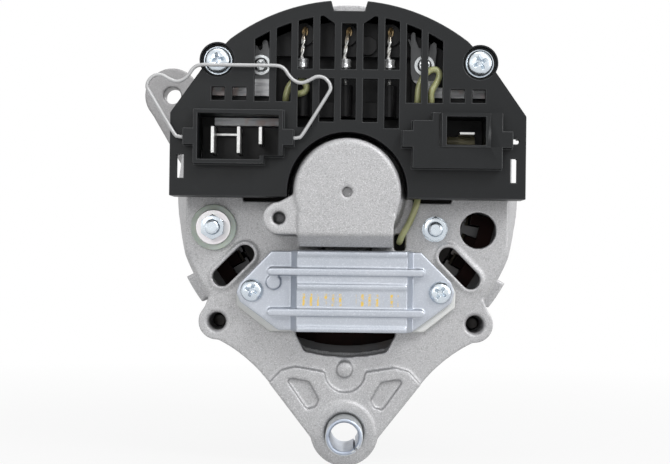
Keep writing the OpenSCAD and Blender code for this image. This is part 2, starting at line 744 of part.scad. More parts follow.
module rear_bearing_outer() color([0.6, 0.62, 0.64])
    race(rear_pitch_r + 1.8, rear_od / 2, rear_bearing_back, rear_bearing_front, rear_pitch_r, rear_ball_r);
module rear_bearing_inner() color([0.6, 0.62, 0.64])
    race(shaft_rear_d / 2 + seat, rear_pitch_r - 1.8, rear_bearing_back, rear_bearing_front,
        rear_pitch_r, rear_ball_r);
module rear_bearing_balls() color([0.8, 0.8, 0.82]) balls(rear_pitch_r, rear_mid, rear_ball_r);
module rear_bearing_cage() color([0.7, 0.65, 0.5]) cage(rear_pitch_r, rear_mid, rear_ball_r);

// Plate that keeps the front bearing in its hub
retainer_angles = [90, 210, 330];
retainer_screw_r = front_od / 2 + 3;
module bearing_retainer() color([0.6, 0.6, 0.58]) difference() {
    rod(front_hub_r - 0.5, bearing_inside - retainer_t, bearing_inside - seat);
    rod(front_od / 2 - 3, bearing_inside - retainer_t - over, bearing_inside + over);
    for (a = retainer_angles)
        rod(1.7, bearing_inside - retainer_t - over, bearing_inside + over, polar(retainer_screw_r, a));
}
module retainer_screws() color([0.7, 0.7, 0.68]) for (a = retainer_angles) {
    rod(1.6, bearing_inside - retainer_t - 0.5, nose_y - 4, polar(retainer_screw_r, a));
    rod(2.8, bearing_inside - retainer_t - 1.6, bearing_inside - retainer_t - seat,
        polar(retainer_screw_r, a));
}

// Rotor

ring_in_y = rear_y - ring_offset;
ring_out_y = ring_in_y - ring_pitch;
tail_y = ring_out_y - ring_w / 2 - 3;
nut_y = pulley_front + 2;
shaft_tip = nut_y + nut_h + thread_show;
collar_r = shaft_d / 2 + 2.6;
key_w = 4;
key_top = shaft_d / 2 + 2;
mid_r = shaft_mid_d / 2;
module shaft() color([0.55, 0.56, 0.58]) difference() {
    turned([[0, tail_y], [shaft_tail_d / 2 - 0.5, tail_y], [shaft_tail_d / 2, tail_y + 0.5],
        [shaft_tail_d / 2, rear_bearing_back], [shaft_rear_d / 2, rear_bearing_back],
        [shaft_rear_d / 2, rear_bearing_front], [mid_r, rear_bearing_front],
        [mid_r, bearing_inside], [shaft_d / 2, bearing_inside],
        [shaft_d / 2, pulley_front], [shaft_d / 2 - 0.5, pulley_front],
        [shaft_d / 2 - 0.5, shaft_tip - 1], [shaft_d / 2 - 1.5, shaft_tip], [0, shaft_tip]]);
    block([-key_w / 2, pulley_back + 1, key_top - 4.2], [key_w / 2, pulley_front - 1, shaft_d]);
}
module shaft_key() color([0.5, 0.5, 0.5])
    block([-key_w / 2 + seat, pulley_back + 1.1, key_top - 4.1],
        [key_w / 2 - seat, pulley_front - 1.1, key_top]);

// A claw: thick at its root, thin and narrow at its tip, round on the outside
claw_reach = claw_disc_t + field_core_len - 3;
module claw() {
    inner = rotor_r - claw_root_t - 6;
    far = rotor_r + 2 * over;
    intersection() {
        rod(rotor_r, 0, claw_reach);
        // Side view: radius and y, with a flat inside that rises towards the tip
        translate([0, 0, -claw_root_w]) linear_extrude(2 * claw_root_w)
            polygon([[inner, 0], [far, 0], [far, claw_reach], [rotor_r - claw_tip_t, claw_reach],
                [rotor_r - claw_root_t, claw_disc_t], [inner, claw_disc_t]]);
        // Plan view: straight over the disc, then tapered
        translate([inner - over, 0, 0]) rotate([90, 0, 90]) linear_extrude(far)
            polygon([[0, -claw_root_w / 2], [claw_disc_t, -claw_root_w / 2], [claw_reach, -claw_tip_w / 2],
                [claw_reach, claw_tip_w / 2], [claw_disc_t, claw_root_w / 2], [0, claw_root_w / 2]]);
    }
}
module claw_pole(turn) difference() {
    union() {
        rod(rotor_r - claw_root_t - 3, 0, claw_disc_t);
        for (i = [0:claw_count - 1]) at_angle(i * claw_step + turn) claw();
    }
    rod(mid_r + seat, -over, claw_disc_t + over);
}
module claw_pole_rear() color([0.32, 0.32, 0.34]) translate([0, claw_rear, 0]) claw_pole(0);
module claw_pole_front() color([0.32, 0.32, 0.34])
    translate([0, claw_front, 0]) mirror([0, 1, 0]) claw_pole(claw_step / 2);

coil_y0 = claw_rear + claw_disc_t;
coil_y1 = coil_y0 + field_core_len;
coil_out_r = rotor_r - claw_root_t - 1.2;
module rotor_core() color([0.3, 0.3, 0.32]) difference() {
    rod(field_core_d / 2, coil_y0, coil_y1);
    rod(mid_r + seat, coil_y0 - over, coil_y1 + over);
}
module coil_bobbin() color([0.2, 0.22, 0.2]) difference() {
    rod(coil_out_r, coil_y0 + seat, coil_y1 - seat);
    turned([[field_core_d / 2 + bobbin_wall, coil_y0 + bobbin_wall],
        [coil_out_r + over, coil_y0 + bobbin_wall],
        [coil_out_r + over, coil_y1 - bobbin_wall], [field_core_d / 2 + bobbin_wall, coil_y1 - bobbin_wall]]);
    rod(field_core_d / 2 + seat, coil_y0 - over, coil_y1 + over);
}
module field_coil() color([0.6, 0.28, 0.13])
    turned([[field_core_d / 2 + bobbin_wall + seat, coil_y0 + bobbin_wall + seat],
        [coil_out_r - 0.8, coil_y0 + bobbin_wall + seat], [coil_out_r - 0.8, coil_y1 - bobbin_wall - seat],
        [field_core_d / 2 + bobbin_wall + seat, coil_y1 - bobbin_wall - seat]]);

sleeve_front = rear_bearing_back - 0.3;
sleeve_r = ring_sleeve_d / 2;
module slip_ring_sleeve() color([0.45, 0.2, 0.12]) difference() {
    union() {
        rod(sleeve_r, tail_y + 1, sleeve_front);
        for (y = [ring_in_y + ring_pitch / 2, (ring_in_y + ring_out_y) / 2])
            rod(ring_d / 2 - 0.6, y - (ring_pitch - ring_w) / 2 + 0.05, y + (ring_pitch - ring_w) / 2 - 0.05);
    }
    rod(shaft_tail_d / 2 + seat, tail_y, sleeve_front + over);
}
module slip_rings() color([0.75, 0.42, 0.25]) for (y = [ring_in_y, ring_out_y]) difference() {
    rod(ring_d / 2, y - ring_w / 2, y + ring_w / 2);
    rod(sleeve_r + seat, y - ring_w, y + ring_w);
}

// Pieces on the front of the shaft

module bearing_collar() color([0.6, 0.6, 0.6]) difference() {
    rod(collar_r, bearing_front, fan_back);
    rod(shaft_d / 2 + seat, bearing_front - over, fan_back + over);
}
fan_r = fan_d / 2;
fan_eye_r = 24;
module fan() color([0.62, 0.62, 0.6]) difference() {
    union() {
        along(fan_back, fan_front) difference() {
            circle(r = fan_r - 4);
            for (i = [0:blade_count - 1]) rotate(i * 360 / blade_count - 12)
                slot2d([fan_r - 22, 2], [fan_r - 8, 9], 2.2);
        }
        for (i = [0:blade_count - 1]) at_angle(i * 360 / blade_count) translate([fan_eye_r + 12, 0, 0])
            rotate([0, -24, 0])
                block([0, fan_back - blade_h, -fan_t / 2],
                    [fan_r - fan_eye_r - 13, fan_front - 0.2, fan_t / 2]);
    }
    rod(shaft_d / 2 + seat, fan_back - over, fan_front + over);
}
module pulley_spacer() color([0.6, 0.6, 0.6]) difference() {
    rod(fan_eye_r - 6, fan_front, pulley_back);
    rod(shaft_d / 2 + seat, fan_front - over, pulley_back + over);
}

// One half of the pulley, from the belt plane to its outer face at +pulley_w / 2
pulley_r = pulley_d / 2;
groove_floor_r = pulley_r - groove_depth;
groove_floor_w = groove_w / 2 - groove_depth * tan(18);
module pulley_half() difference() {
    turned([[shaft_d / 2 + seat, 0], [groove_floor_r, 0], [groove_floor_r, groove_floor_w],
        [pulley_r - 0.6, groove_w / 2 - 0.2], [pulley_r, groove_w / 2 + 0.4], [pulley_r, pulley_front - 0.8],
        [pulley_r - 0.8, pulley_front], [pulley_r - 3.5, pulley_front],
        [groove_floor_r + 1, pulley_front - 3.4], [17, pulley_front - 3.4],
        [15.5, pulley_front], [shaft_d / 2 + seat, pulley_front]]);
    block([-key_w / 2, -over, 0], [key_w / 2, pulley_front + over, key_top + 0.2]);
}
module pulley_front_half() color([0.5, 0.5, 0.52]) pulley_half();
module pulley_rear_half() color([0.5, 0.5, 0.52]) mirror([0, 1, 0]) pulley_half();

module lock_washer() color([0.65, 0.65, 0.63]) difference() {
    rod(13.2, pulley_front + seat, nut_y - seat);
    rod(shaft_d / 2 + 0.2, pulley_front - over, nut_y + over);
    rotate([0, 40, 0]) block([0, pulley_front - over, -0.8], [20, nut_y + over, 0.8]);
}
module pulley_nut() color([0.7, 0.7, 0.66])
    hex_nut(nut_af, nut_y, nut_y + nut_h, [0, 0], shaft_d / 2 - 0.5 + seat);

// Regulator with the brush gear

reg_y = rear_y - reg_h;
reg_plate_y = rear_y - reg_base_t;
reg_flange_y = reg_plate_y - reg_flange_t;
reg_top_z = -20.5;
reg_low_z = -49.6;
reg_left = -19.5;
reg_right = 23.7;
draft = 2;

// Flange: a bar with slanted corners that comes to a point at each screw
module reg_flange2d() polygon([[-27, reg_top_z - 0.4], [26.8, reg_top_z - 0.4], [37.6, -31.5],
    [38.9, -35.2], [37.7, -39], [24, reg_low_z + 0.3], [-24.1, reg_low_z + 0.3], [-38, -39.3],
    [-39.4, -36], [-38.2, -32.8]]);
module regulator_base() color([0.86, 0.88, 0.86]) difference() {
    along(reg_plate_y, rear_y - 1.2 - seat) polygon([[-27, reg_top_z - 0.4], [26.8, reg_top_z - 0.4],
        [37.6, -31.5], [39.4, -35.2], [39.2, -40.7], [28, -49.6], [-27.4, -49.9], [-39.5, -40.7],
        [-39.6, -35.6], [-38.2, -32.8]]);
    along(reg_plate_y - over, rear_y) translate([-reg_window_w / 2 + 0.5, -47.5])
        square([reg_window_w - 1, 30]);
    for (s = [-1, 1]) rod(2.1, reg_plate_y - over, rear_y, [s * reg_screw_at[0], reg_screw_at[1]]);
}

rib_high_z = -28.2;
rib_low_z = -42.7;
rib_end = 26.7;
rib_h = 0.9;
module reg_rib(z) {
    along(reg_y - rib_h, reg_flange_y + 0.3) slot2d([-rib_end, z], [rib_end, z], rib_w / 2);
}
module regulator_body() color([0.76, 0.78, 0.82]) difference() {
    union() {
        along(reg_flange_y, reg_plate_y) reg_flange2d();
        // Drafted box
        translate([0, 0, reg_low_z]) linear_extrude(reg_top_z - reg_low_z)
            polygon([[reg_left, reg_flange_y + 0.5], [reg_left, reg_flange_y - 0.5],
                [reg_left + draft, reg_y], [reg_right - draft, reg_y],
                [reg_right, reg_flange_y - 0.5], [reg_right, reg_flange_y + 0.5]]);
        for (z = [rib_high_z, rib_low_z]) reg_rib(z);
        for (z = [reg_top_z - 1.2, -33.5, reg_low_z + 0.9])
            block([reg_left + draft, reg_y - 0.6, z - 0.9], [reg_right - draft, reg_y + 0.5, z + 0.9]);
        rod(2.6, reg_flange_y - 1.5, reg_flange_y + 0.5, [-26, -32.1]);
    }
    block([reg_left + draft + reg_wall, reg_y + reg_wall, reg_low_z + reg_wall],
        [reg_right - draft - reg_wall, reg_plate_y + over, reg_top_z - reg_wall]);
    // Gap in the upper wall where the brush holder passes into the dome
    block([-holder_half_w - 0.4, holder_back - 0.3, reg_top_z - 3],
        [holder_half_w + 0.4, reg_plate_y + over, reg_top_z + over]);
    for (s = [-1, 1])
        rod(2.1, reg_flange_y - over, reg_plate_y + over, [s * reg_screw_at[0], reg_screw_at[1]]);
}
module regulator_screws() color([0.72, 0.76, 0.78]) for (s = [-1, 1])
    cross_screw([s * reg_screw_at[0], reg_screw_at[1]], 4.1, 3, reg_flange_y, 1.55, rear_y + cast_wall);

// Brush holder: two guides side by side along the shaft
brush_top = -ring_d / 2 - 0.1;
brush_low = brush_top - brush_len;
spring_len = 13;
holder_top = -ring_d / 2 - 1.6;
holder_low = brush_low - spring_len - 1.5;
holder_half_w = brush_w / 2 + brush_gap + brush_wall;
holder_back = ring_out_y - brush_t / 2 - brush_gap - brush_wall;
holder_front = ring_in_y + brush_t / 2 + brush_gap + brush_wall;
module brush_holder() color([0.1, 0.1, 0.11]) difference() {
    block([-holder_half_w, holder_back, holder_low], [holder_half_w, holder_front, holder_top]);
    for (y = [ring_in_y, ring_out_y])
        block([-brush_w / 2 - brush_gap, y - brush_t / 2 - brush_gap, holder_low + 1.5],
            [brush_w / 2 + brush_gap, y + brush_t / 2 + brush_gap, holder_top + over]);
}
module brush(y) difference() {
    block([-brush_w / 2, y - brush_t / 2, brush_low], [brush_w / 2, y + brush_t / 2, brush_top + 1.2]);
    rod(ring_d / 2 + 0.06, y - brush_t, y + brush_t);
}
module brush_inner() color([0.2, 0.2, 0.21]) brush(ring_in_y);
module brush_outer() color([0.2, 0.2, 0.21]) brush(ring_out_y);

// A round wire swept along points
function unit(v) = v / norm(v);
function tangent_at(p, i) = unit(p[min(i + 1, len(p) - 1)] - p[max(i - 1, 0)]);
function ring_points(c, t, up, r, sides) =
    let (side = unit(cross(t, up)), top = cross(side, t))
    [for (k = [0:sides - 1]) c + r * (side * cos(k * 360 / sides) + top * sin(k * 360 / sides))];
module wire(path, r, up, sides = 8) {
    n = len(path);
    points = [for (i = [0:n - 1]) each ring_points(path[i], tangent_at(path, i), up, r, sides)];
    walls = [for (i = [0:n - 2], k = [0:sides - 1])
        [i * sides + k, i * sides + (k + 1) % sides, (i + 1) * sides + (k + 1) % sides, (i + 1) * sides + k]];
    first = [for (k = [sides - 1:-1:0]) k];
    last = [for (k = [0:sides - 1]) (n - 1) * sides + k];
    polyhedron(points, concat([first], walls, [last]));
}

// Coil spring under a brush
spring_r = 1.5;
spring_wire_r = 0.22;
spring_turns = 6;
module brush_spring(y) {
    low = holder_low + 1.5 + 0.3;
    high = brush_low - 0.3;
    steps = spring_turns * 8;
    wire([for (i = [0:steps]) [spring_r * cos(i * 45), y + spring_r * sin(i * 45),
        low + (high - low) * i / steps]], spring_wire_r, [0, 0, 1], 5);
}
module brush_spring_inner() color([0.7, 0.7, 0.7]) brush_spring(ring_in_y);
module brush_spring_outer() color([0.7, 0.7, 0.7]) brush_spring(ring_out_y);

// Rectifier under the cover

neg_back = rear_y - sink_t;
pos_front = neg_back - sink_gap;
pos_back = pos_front - sink_t;
sink_in_r = dome_r + 5.5;
sink_out_r = 61.5;
diode_x = [-16.3, -1.1, 14.5];
pos_diode_z = 56.5;
neg_diode_low = 27;
neg_diode_high = 38.5;
neg_diode_r = 2.65;
neg_diode_y = rear_y - 9.3;
sink_rib_h = 3.8;
sink_rib_top = 32.7;
lead_y = rear_y - 12;
spacer_at = [[-39.5, 34], [6.6, 52.6], [39.5, 34]];
module sink2d(a0) difference() {
    sector2d(sink_in_r, sink_out_r, a0, 180 - a0);
    for (a = upper_bolts) spot(bolt_at(a), 8);
}
module heatsink_negative() color([0.1, 0.1, 0.11]) difference() {
    union() {
        along(neg_back, rear_y - seat) sink2d(16);
        // Rib that carries the row of standing diodes
        block([-18.4, neg_back - sink_rib_h, neg_diode_low], [19, neg_back + 0.5, sink_rib_top]);
    }
    for (p = spacer_at) rod(2, neg_back - over, rear_y + over, p);
}
module heatsink_positive() color([0.1, 0.1, 0.11]) difference() {
    along(pos_back, pos_front) difference() {
        sink2d(20);
        // Room for the plug sockets on both sides
        for (s = [-1, 1]) translate([s * (12 + 30) - 30, 0]) square([60, socket_left_hi[1] + 1.8]);
        // The middle stops above the standing diodes
        translate([-26.5, 0]) square([49, 48.7]);
    }
    for (p = spacer_at) rod(2, pos_back - over, pos_front + over, p);
    for (x = diode_x) rod(diode_r - 1, pos_back - over, pos_front + over, [x, pos_diode_z]);
    for (p = fork_screw_at) rod(1.6, pos_back - over, pos_front + over, p);
}
// Insulating bushes with the rivets that hold the two plates
module heatsink_spacers() color([0.75, 0.72, 0.6]) for (p = spacer_at) {
    rod(3.6, pos_front + seat, neg_back - seat, p);
    rod(1.9, pos_back - 1, rear_y - 0.5, p);
    rod(3.4, pos_back - 2, pos_back - seat, p);
}
module diodes() color([0.5, 0.5, 0.52]) for (x = diode_x) {
    translate([x, neg_diode_y, neg_diode_low]) cylinder(r = neg_diode_r, h = neg_diode_high - neg_diode_low);
    block([x - 1.6, neg_diode_y + 1, neg_diode_low], [x + 1.6, neg_back - sink_rib_h - seat, sink_rib_top]);
    rod(diode_r, pos_back - 1.6, pos_back - seat, [x, pos_diode_z]);
    rod(diode_r - 1.1, pos_back - 1, pos_front - 0.5, [x, pos_diode_z]);
}
// Leads rise from the upper diodes, run down through a crimp and enter the standing ones
ferrule_top = 47.5;
ferrule_low = 44.2;
ferrule_r = 2;
lead_r = 0.75;
module diode_leads() color([0.8, 0.8, 0.78]) for (x = diode_x) {
    wire([[x, pos_back - 1.6 - seat, pos_diode_z], [x, lead_y + 1.5, pos_diode_z],
        [x, lead_y + 0.3, pos_diode_z - 0.4], [x, lead_y, pos_diode_z - 1.6], [x, lead_y, ferrule_low - 0.8],
        [x, neg_diode_y, neg_diode_high + 1.6], [x, neg_diode_y, neg_diode_high + seat]],
        lead_r, [1, 0, 0], 8);
    translate([x, lead_y, ferrule_low]) cylinder(r = ferrule_r, h = ferrule_top - ferrule_low);
}

// Forked plates that take the phase wires, each on a post with a screw
fork_y = rear_y - 11;
fork_t = 0.8;
fork_screw_at = [[-31.3, 45.2], [26.9, 45.6]];
fork_left = [[-34.2, 51.4], [-33.5, 52.4], [-32.5, 52.1], [-32.2, 50.9], [-31.7, 50.4], [-31, 50.9],
    [-30.9, 53.6], [-30.1, 54.4], [-29.1, 54], [-28.8, 52.5], [-28.1, 49.7], [-28.1, 34.1],
    [-48.6, 34.1], [-48.6, 37.9], [-34.2, 37.9]];
fork_right = [[20.9, 54.9], [21.5, 55.3], [21.9, 54.2], [22, 56.8], [22.8, 57.7], [23.6, 57.1],
    [23.8, 54.4], [24.8, 52], [26.6, 51.6], [28.4, 50.4], [28.9, 53.1], [30.2, 54.2], [31.2, 53.5],
    [31.3, 50.6], [30.9, 47.3], [31.3, 40.5], [31.7, 37.9], [48.6, 37.9], [48.6, 34.1], [28.9, 34.1],
    [25.3, 37.6], [24, 39.1], [22.5, 40.6], [22, 43.1], [21.9, 52.4]];
module phase_terminals() color([0.55, 0.53, 0.55]) difference() {
    union() {
        along(fork_y, fork_y + fork_t) polygon(fork_left);
        along(fork_y, fork_y + fork_t) polygon(fork_right);
        for (p = fork_screw_at) rod(3, fork_y + fork_t / 2, pos_back - seat, p);
    }
    for (p = fork_screw_at) rod(1.6, fork_y - over, pos_back + over, p);
}
// Their screws, each with its washer
module terminal_screws() color([0.7, 0.7, 0.7]) for (p = fork_screw_at) {
    cross_screw(p, 2.6, 1.3, fork_y - 0.45, 1.5, pos_front);
    rod(3.7, fork_y - 0.5, fork_y - seat, p);
}

// Pieces in the plug sockets
socket_left = [-54.2, 9.3];
socket_left_hi = [-22.6, 28.4];
blade_x = [-47.7, -38.5, -30.8];
blade_base_z = [13.2, 13.2, 16.4];
cover_y = rear_y - cover_depth;
rim_y = cover_y - socket_h;
blade_tip = rim_y + blade_sunk;
carrier_front = neg_back - 0.3;
carrier_back = carrier_front - 2.2;
bus_low = [-47.7, 23.6];
bus_high = [-24.3, 26.4];
module blade_carrier() color([0.08, 0.08, 0.09]) difference() {
    block([socket_left[0] + socket_wall + 0.3, carrier_back, socket_left[1] + socket_wall + 0.2],
        [socket_left_hi[0] - socket_wall - 0.3, carrier_front, bus_low[1] - 0.2]);
    for (i = [0:2]) block([blade_x[i] - blade_t / 2 - seat, carrier_back - over, blade_base_z[i] - seat],
        [blade_x[i] + blade_t / 2 + seat, carrier_front + over, blade_base_z[i] + blade_widths[i] + seat]);
}
blade_widths = [blade_wide, blade_wide, blade_small];
module plug_blades() color([0.82, 0.82, 0.8]) {
    for (i = [0:2]) block([blade_x[i] - blade_t / 2, blade_tip, blade_base_z[i]],
        [blade_x[i] + blade_t / 2, carrier_front, blade_base_z[i] + blade_widths[i]]);
    // Link between the two large blades
    block([blade_x[0], carrier_back - 3, 19.9], [blade_x[1], carrier_back - 1, 20.9]);
    // Output blade in the right socket, on its round post
    block([39.4, blade_tip + 2, 20.8], [44.8, carrier_front, 21.8]);
    translate([35.5, carrier_back, 18.9]) rotate([0, 90, 0]) cylinder(r = 1.9, h = 10);
}
module bus_bar() color([0.72, 0.72, 0.74])
    block([bus_low[0], rear_y - 9, bus_low[1]], [bus_high[0], neg_back - 0.3, bus_high[1]]);

// Insulated leads that show through the grille and under the cover
lead_loop_left = [[-20.4, -118, 26.2], [-20.6, -121.5, 26.9], [-21.5, -125.2, 29.6],
    [-22.3, -127.6, 32.2], [-22.1, -128.7, 34.2], [-21.6, -128.8, 36.2], [-20.9, -128.8, 37.8],
    [-19.5, -128.8, 39.2], [-18.1, -128.8, 39.7], [-16.8, -128.8, 39.4], [-15.5, -128.8, 38.6],
    [-14.9, -128.7, 37.3], [-15.2, -128.6, 36.1], [-16.2, -128.5, 35.3], [-17.7, -128.2, 34.9],
    [-18.9, -127.7, 34.9]];
lead_loop_right = [[21.4, -118, 25.2], [21.8, -121.5, 25.8], [23.2, -125.6, 28],
    [24.3, -128.3, 31.2], [24.6, -129.1, 34], [24.8, -129.2, 37], [25.7, -129.2, 39.9],
    [27.1, -129.2, 42.1], [28.6, -129.2, 43.5], [30.2, -129.2, 44], [31.5, -129.2, 43.6],
    [32.1, -129.2, 42.3], [31.8, -129.2, 40.6], [30.9, -129.2, 38.8], [29.8, -129.2, 37],
    [29.3, -129, 35.2], [29.4, -128.3, 32.6], [29.3, -126.4, 29], [28.8, -122, 26.4],
    [28.4, -118, 25.4]];
lead_tail = [[25.6, -111.2, -0.4], [25.6, -113.5, -0.5], [25.5, -115.5, -0.8],
    [25.3, -116.8, -2.1], [24.9, -117.3, -4], [23.7, -117.3, -7.4], [22.5, -117.3, -10.2],
    [21.1, -117.2, -12.7], [19.9, -116.6, -15], [19.3, -115.4, -16.6], [19.2, -112.5, -17.2]];
sleeve_wire_r = 1.15;
module sleeved_leads() color([0.72, 0.75, 0.42]) {
    wire(lead_loop_left, sleeve_wire_r, [1, 0.3, 0], 10);
    wire(lead_loop_right, sleeve_wire_r, [1, 0.3, 0], 10);
    wire(lead_tail, sleeve_wire_r, [1, 0, 0], 10);
}

// Rectifier cover

arch_r = dome_r + arch_gap;
cover_drop = 1.4;
cover_low_z = -1.9;
shoulder = [[62.7, 27.3], [51.5, 43.4], [43.8, 51.6], [40.4, 55.3]];
notch_top_w = 8.5;
notch_low_w = 5.4;
notch_z = 64;

// Outline of the cover, moved inwards by a wall
module cover2d(inset) difference() {
    union() {
        intersection() {
            translate([0, -cover_drop]) circle(r = cover_r - inset);
            polygon(concat([[cover_half_w - inset, cover_low_z + inset], [cover_half_w - inset, 27.3],
                shoulder[1] - 0.75 * [inset, inset], shoulder[2] - 0.7 * [inset, inset],
                shoulder[3] - 0.7 * [inset, inset], [40.4 - inset, 75]],
                mirrored([[cover_half_w - inset, cover_low_z + inset], [cover_half_w - inset, 27.3],
                shoulder[1] - 0.75 * [inset, inset], shoulder[2] - 0.7 * [inset, inset],
                shoulder[3] - 0.7 * [inset, inset], [40.4 - inset, 75]])));
        }
        if (inset == 0) for (s = [-1, 1])
            spot([s * cover_screw_at[0], cover_screw_at[1]], screw_seat_r + 0.5);
    }
    circle(r = arch_r + inset);
    polygon([[-notch_top_w - inset, 75], [-notch_low_w - inset, notch_z - inset],
        [notch_low_w + inset, notch_z - inset], [notch_top_w + inset, 75]]);
}
cover_screw_at = bolt_at(45) - [0.4, 0.6];

// Grille windows: five inner columns with two rows, two outer columns on each side with one
bar_gap = bar_pitch - bar_w;
window_low = [25.5, 24.8, 22.7];
window_rim = 5;
cross_bar = [40, 43.4];
module windows2d() difference() {
    intersection() {
        union() for (i = [-4:4]) {
            low = abs(i) > 2 ? 31.8 : window_low[abs(i)];
            translate([i * bar_pitch - bar_gap / 2, low]) square([bar_gap, 60]);
        }
        translate([0, -cover_drop]) circle(r = cover_r - window_rim);
        polygon([[-40, 0], [-40, 70], [-bar_pitch - bar_gap / 2, 70], [-bar_pitch - bar_gap / 2, 63],
            [-bar_pitch + bar_gap / 2, 59.5], [bar_pitch - bar_gap / 2, 59.5],
            [bar_pitch + bar_gap / 2, 63], [bar_pitch + bar_gap / 2, 70], [40, 70], [40, 0]]);
    }
    translate([-2.5 * bar_pitch, cross_bar[0]]) square([5 * bar_pitch, cross_bar[1] - cross_bar[0]]);
}
module small_windows2d() {
    for (s = [-1, 1]) {
        translate([s * 38.5 - 2.5, 32]) square([5, 4.6]);
        translate([s * 46 - 2.3, 32]) square([4.6, 4.6]);
    }
    translate([-60.1, 4.4]) square([2.3, 8.3]);
    translate([57.4, 4]) square([2.1, 8.4]);
    slot2d([57, 18.5], [59.4, 18.5], 0.9);
}

// Left socket: a stepped box open to the rear
module left_socket2d(inset) difference() {
    translate(socket_left + [inset, inset])
        square(socket_left_hi - socket_left - 2 * [inset, inset]);
    translate([-29.3 - (inset > 0 ? 1.5 : 0), socket_left[1] - 1]) square([12, 3.9 + (inset > 0 ? 0.1 : 0)]);
}
ear_low_z = 15.9;
ear_high_z = 21.7;
ear_reach = 3.6;
bail_z = 18.5;
bail_y = rim_y + 1.8;
module socket_ears(x0, x1) {
    for (x = [x0 - ear_reach, x1 - 0.5])
        block([x, rim_y, ear_low_z], [x + ear_reach + 0.5, cover_y + 0.5, ear_high_z]);
}

// Right socket: a closed block with one framed window
right_body = [[22.6, 8.6], [54.1, 8.6], [54.1, 28.1], [29.4, 28.1], [29.4, 25.3], [22.6, 25.3]];
right_window = [34.5, 16.8];
right_window_hi = [48.1, 26.6];
module rectifier_cover() color([0.13, 0.135, 0.14]) difference() {
    union() {
        difference() {
            along(cover_y, rear_y - 0.1) cover2d(0);
            along(cover_y + 2.5, rear_y) cover2d(cover_wall);
        }
        // Screw bosses that stand on the bolt lobes
        for (s = [-1, 1]) rod(screw_seat_r + 0.4, cover_y + screw_seat_depth, rear_y - seat,
            [s * cover_screw_at[0], cover_screw_at[1]]);
        along(rim_y, carrier_back) left_socket2d(0);
        along(rim_y, cover_y + 0.5) polygon(right_body);
        along(cover_y, carrier_back) translate(right_window - [1.8, 1.8])
            square(right_window_hi - right_window + [3.6, 3.6]);
        along(rim_y - 0.6, rim_y + 0.5) translate([32.7, 15.9]) square([17.2, 12]);
        socket_ears(socket_left[0], socket_left_hi[0]);
        socket_ears(22.6, 54.1);
    }
    along(cover_y - over, cover_y + 4) { windows2d(); small_windows2d(); }
    // Inside of the left socket, through to the blade carrier
    along(rim_y - over, rear_y) left_socket2d(socket_wall);
    along(rim_y - over - 0.6, rear_y) translate(right_window) square(right_window_hi - right_window);
    block([31.7, rim_y - over, 15.9], [32.4, rim_y + 1, 28.5]);
    for (s = [-1, 1]) {
        rod(screw_seat_r, cover_y - over, cover_y + screw_seat_depth,
            [s * cover_screw_at[0], cover_screw_at[1]]);
        rod(2.9, cover_y - over, rear_y, [s * cover_screw_at[0], cover_screw_at[1]]);
    }
    // Side walls are thinner behind the two slits and the small hole
    block([-61.6, cover_y + 2.4, 3.9], [-58, rear_y + over, 13.2]);
    block([57, cover_y + 2.4, 3.5], [61.4, rear_y + over, 12.9]);
    block([57, cover_y + 2.4, 17.3], [61.9, rear_y + over, 19.9]);
    // Notch in the lower wall for the lead that runs down beside the dome
    block([23.9, rear_y - 4.4, cover_low_z - over], [27.3, rear_y + over, cover_low_z + cover_wall + over]);
    // Holes for the bail's ends
    for (x = [socket_left[0] - ear_reach - over, socket_left_hi[0] - over])
        translate([x, bail_y, bail_z]) rotate([0, 90, 0])
            cylinder(r = wire_d / 2 + wire_gap, h = ear_reach + 2 * over);
}
module cover_screws() color([0.74, 0.78, 0.8]) for (s = [-1, 1]) {
    at = [s * cover_screw_at[0], cover_screw_at[1]];
    seat_y = cover_y + screw_seat_depth - seat;
    cross_screw(at, 4.6, 3.4, seat_y - 0.9, 2.4, rear_y + 8);
    translate([at[0], 0, at[1]]) turned([[2.3, seat_y - 1], [5.1, seat_y - 1], [5.1, seat_y], [2.3, seat_y]]);
}

// Wire bail that locks the plug, lying flat on the cover
bail_mid_x = (socket_left[0] + socket_left_hi[0]) / 2;
bail_end_x = socket_left_hi[0] + 0.8;
bail_path = [[19.3, 0], [20.9, 0.1], [22.5, 1.4], [27.9, 10.1], [31.1, 15.4], [32.1, 17.5], [31.5, 19.7],
    [29.6, 21.4], [27.1, 21.6], [24.3, 20.2], [21.8, 19.4], [19.4, 20.2], [17.6, 21.9], [16.2, 23.9],
    [14.7, 25], [12.4, 25.4]];
module plug_bail() color([0.78, 0.78, 0.77]) {
    left = [for (p = bail_path) [bail_mid_x - p[0], bail_y, bail_z + p[1]]];
    right = [for (i = [len(bail_path) - 1:-1:0])
        [bail_mid_x + bail_path[i][0], bail_y, bail_z + bail_path[i][1]]];
    wire(concat(left, right), wire_d / 2, [0, 1, 0], 10);
    for (s = [-1, 1]) translate([bail_mid_x + s * (bail_end_x - bail_mid_x), bail_y, bail_z])
        rotate([0, 90 * s, 0]) cylinder(r = wire_d / 2, h = 19.6 - (bail_end_x - bail_mid_x));
}

// Terminals on the rear face

w_washer_y = rear_y - 2.4;
w_nut_y = w_washer_y - 1.2;
w_nut_h = 5;
e_nut_h = 4.2;
module terminal_studs() color([0.7, 0.72, 0.74]) {
    rod(w_stud_d / 2, w_nut_y - w_nut_h - 4, rear_y + cast_wall + 3, w_at);
    hex_nut(w_nut_af, rear_y + cast_wall + 1.2, rear_y + cast_wall + 5, w_at, 0.01);
    rod(e_stud_d / 2, rear_y - 1.1 - e_nut_h - 3, rear_y + cast_wall + 1, e_at);
    rod(4, rear_y + cast_wall + seat, rear_y + cast_wall + 3, e_at);
}
